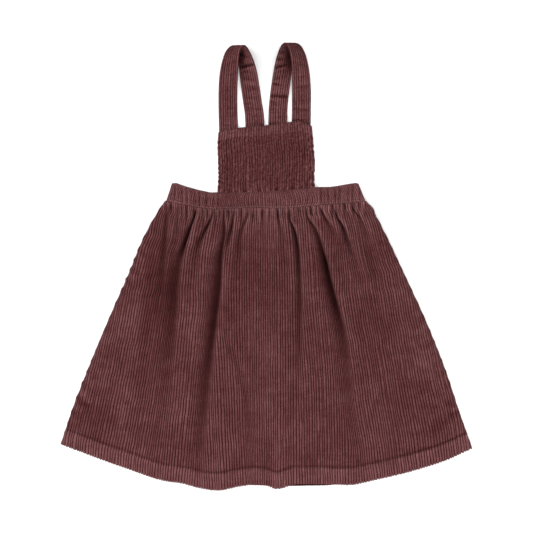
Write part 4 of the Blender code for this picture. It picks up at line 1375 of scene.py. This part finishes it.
def makeStrap(name, node, table, creases, loop, seed):
    outer, width, facing, length = strapRoute(table)
    counts, across = strapWales(seed)
    drop = waleDrop(counts, strap["groove"])
    rings, uv, tone = [], [], []
    for start, span, normal, place in zip(outer, width, facing, length):
        wander = 0.012 * drift(place + 0 * across, across * strap["pattern"], 11.0, seed)
        spread = (across + wander * np.sin(math.pi * across))[:, None]
        top, low, shade = strapSection(place, across, drop, creases, loop, seed)
        face = start + span * spread + normal * top
        above = face[:, 1] - straightRead(bibTop, face[:, 0])
        dark, before = strapShade["tuckedIn"]
        shade += dark * bell(above - 1.4, 1.6) * (before if place < loop["at"] else 1.0)
        rings.append(roundTrip(face, start + span * spread - normal * low))
        uv.append([(count, place / cloth["walePitch"]) for count in roundTrip(counts, counts)])
        tone.append(roundTrip(shade, shade))
    rings = np.array(rings)
    rings[:, :, 2] = np.maximum(rings[:, :, 2], 0.0)
    faces = tubeFaces(len(rings), len(rings[0]), len(across))
    tone = np.array(tone).ravel()
    obj = makeMesh(name, rings.reshape(-1, 3), faces, corduroy, np.array(uv).reshape(-1, 2),
                   tone=tone, wrongSide=0 * tone, rubbed=0 * tone + strap["rubbed"])
    declare(obj, [node])


# Creases across the straps: place along, depth, reach, slant, middle of the width, spread.
leftCreases = (
    (9, .30, 1.1, 3, .5, .5), (19, .25, 1.0, -3, .35, .4), (30, .30, .9, 3, .7, .25),
    (34, .38, 1.0, -2, .65, .25), (40, .22, .9, 3, .75, .3), (51, .22, .9, -3, .4, .3),
    (63, .20, 4.5, 2, .42, .2), (83, .24, .9, 2, .75, .2), (97, .18, 1.2, 5, .4, .4),
    (137, .35, 1.3, 3, .6, .4), (144, -.5, 2.0, -5, .65, .3), (150.5, .85, 1.2, -7, .6, .6),
    (158, .32, 1.2, -3, .4, .3), (167, .42, 1.6, 2, .35, .35), (173, -.35, 1.8, 0, .6, .3),
    (181, .32, 1.2, -3, .6, .4), (191, .36, 1.4, 3, .4, .4), (198, .26, 1.0, -3, .3, .3),
    (205, .3, 1.1, 2, .6, .4), (215, .26, 1.0, -2, .5, .4),
)
rightCreases = (
    (13, .45, 1.0, 0, .6, .4), (26, .38, 1.4, 2, .5, .7), (38, .18, .9, 3, .4, .3),
    (55, .22, 1.0, -3, .6, .3), (68, .18, 1.0, -3, .4, .3), (84, .2, 1.2, 4, .5, .4),
    (126, .4, 1.2, -3, .8, .25), (134, .45, 1.2, -2, .85, .25), (138, -.35, 1.6, 0, .8, .25),
    (143, .8, 1.2, 3, .75, .35), (150, .3, 1.0, -3, .7, .3), (158, .28, 1.1, 3, .8, .3),
    (163, -.3, 1.6, 0, .8, .25), (167.5, .6, 1.2, -6, .8, .3), (176, -.45, 2.0, 0, .5, .6),
    (182, .8, 1.3, -2, .5, .9), (187, .35, 2.2, 0, .25, .2), (188, .32, 1.0, 2, .8, .25),
    (192.5, .38, 1.0, -2, .75, .25), (198, .38, 1.0, 2, .8, .25), (203, .34, 1.0, -2, .7, .3),
    (208, .26, 1.0, 2, .5, .4),
)
# where the top of each loop is along the strap, and how far and how dark its inside is shaded
leftLoop = {"at": 136, "reach": 15, "dark": 0.95}
rightLoop = {"at": 132, "reach": 18, "dark": 0.85}
makeStrap("strapLeft", "strap_left", strapLeft, leftCreases, leftLoop, 41)
makeStrap("strapRight", "strap_right", strapRight, rightCreases, rightLoop, 43)

stitching = {
    "length": 2.7,
    "gap": 0.6,
    "radius": 0.26,
    "lift": 0.05,
    "backLift": -0.02,
}


def stitchShape():  # one grain of thread between two needle holes
    bpy.ops.object.select_all(action="DESELECT")
    bpy.ops.mesh.primitive_uv_sphere_add(segments=6, ring_count=5, radius=1.0)
    seed = bpy.context.object
    points = np.array([v.co[:] for v in seed.data.vertices])
    faces = [list(p.vertices) for p in seed.data.polygons]
    bpy.data.objects.remove(seed, do_unlink=True)
    return points, faces


def stitchRun(name, path):
    # threads along a path on the cloth, dipping into it at both ends
    run = np.append(0.0, np.cumsum(np.linalg.norm(np.diff(path, axis=0), axis=1)))
    pace = stitching["length"] + stitching["gap"]
    points, faces, seedPoints, seedFaces = [], [], *stitchShape()
    for k in range(int(run[-1] // pace)):
        ends = [np.array([np.interp(at, run, path[:, i]) for i in range(3)])
                for at in (k * pace, k * pace + stitching["length"])]
        middle, along = (ends[0] + ends[1]) / 2, (ends[1] - ends[0]) / 2
        across = np.cross(along, (0, 0, 1.0))
        across = across / np.linalg.norm(across) * stitching["radius"]
        faces.extend([[v + len(points) * len(seedPoints) for v in f] for f in seedFaces])
        points.append(middle + seedPoints[:, 2:3] * along + seedPoints[:, :1] * across
                      + seedPoints[:, 1:2] * np.array((0, 0, stitching["radius"])))
    obj = makeMesh(name, np.concatenate(points), faces, thread)
    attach(obj, "root")
    print(name, "sewn:", len(points), "stitches")


def rowOf(grid, places, at, lift):  # the crests of the row nearest to a place, raised by lift
    row = grid[int(np.argmin(np.abs(places - at)))]
    path = row[2::perWale, :3].copy()
    path = path[np.append(True, np.linalg.norm(np.diff(path[:, :2], axis=0), axis=1) > 0.2)]
    path[:, 2] += lift
    return path


stitchRun("hemStitchesFront", rowOf(frontGrid, frontDown, skirt["hemStitch"], stitching["lift"]))
stitchRun("hemStitchesBack", rowOf(backGrid, backDown, skirt["hemStitch"], stitching["backLift"]))
stitchRun("waistStitches", rowOf(bandGrid, bandUp, band["stitchUp"], stitching["lift"]))

studio = {
    "pictureWidth": 0.66625,
    "cameraHeight": 4.0,
    "sensor": 36.0,
    "worldStrength": 0.36,
    "lights": {  # place, size, power
        "softKey": ((-1.8, 0.2, 1.4), (1.6, 2.0), 60.0),
        "rightFill": ((1.6, 0.3, 1.1), (0.9, 1.4), 13.0),
        "overhead": ((0.2, -0.2, 2.6), (2.0, 2.0), 42.0),
        "lowFill": ((0.25, -1.1, 0.75), (1.4, 0.5), 13.0),
    },
    "floorSize": 8.0,
    "floorLevel": -0.0003,
    "floor": {"Base Color": (0.92, 0.92, 0.92, 1), "Roughness": 0.9, "Specular IOR Level": 0.1},
}


def addLight(name, place, size, power):  # aimed at the middle of the dress
    bpy.ops.object.select_all(action="DESELECT")
    bpy.ops.object.light_add(type="AREA", location=place)
    lamp = bpy.context.object
    lamp.name = name
    lamp.data.shape = "RECTANGLE"
    lamp.data.size, lamp.data.size_y = size
    lamp.data.energy = power
    lamp.rotation_mode = "QUATERNION"
    lamp.rotation_quaternion = (-lamp.location).to_track_quat("-Z", "Y")


def addStudio():
    bpy.ops.object.select_all(action="DESELECT")
    bpy.ops.mesh.primitive_plane_add(size=studio["floorSize"], location=(0, 0, studio["floorLevel"]))
    floor = bpy.context.object
    floor.name = "paleFloor"
    floor.data.materials.append(newMaterial("paleFloor", studio["floor"])[0])
    for name, (place, size, power) in studio["lights"].items():
        addLight(name, place, size, power)
    world = bpy.data.worlds.new("paleRoom")
    world.use_nodes = True
    backdrop = world.node_tree.nodes["Background"]
    backdrop.inputs["Color"].default_value = (1, 1, 1, 1)
    backdrop.inputs["Strength"].default_value = studio["worldStrength"]
    bpy.context.scene.world = world
    bpy.context.scene.view_settings.view_transform = "Standard"
    bpy.ops.object.camera_add(location=(0, 0, studio["cameraHeight"]), rotation=(0, 0, 0))
    camera = bpy.context.object
    camera.name = "pictureCamera"
    camera.data.sensor_width = studio["sensor"]
    camera.data.lens = studio["sensor"] * studio["cameraHeight"] / studio["pictureWidth"]
    camera.data.clip_end = 50.0
    bpy.context.scene.camera = camera


addStudio()
print("studio ready")
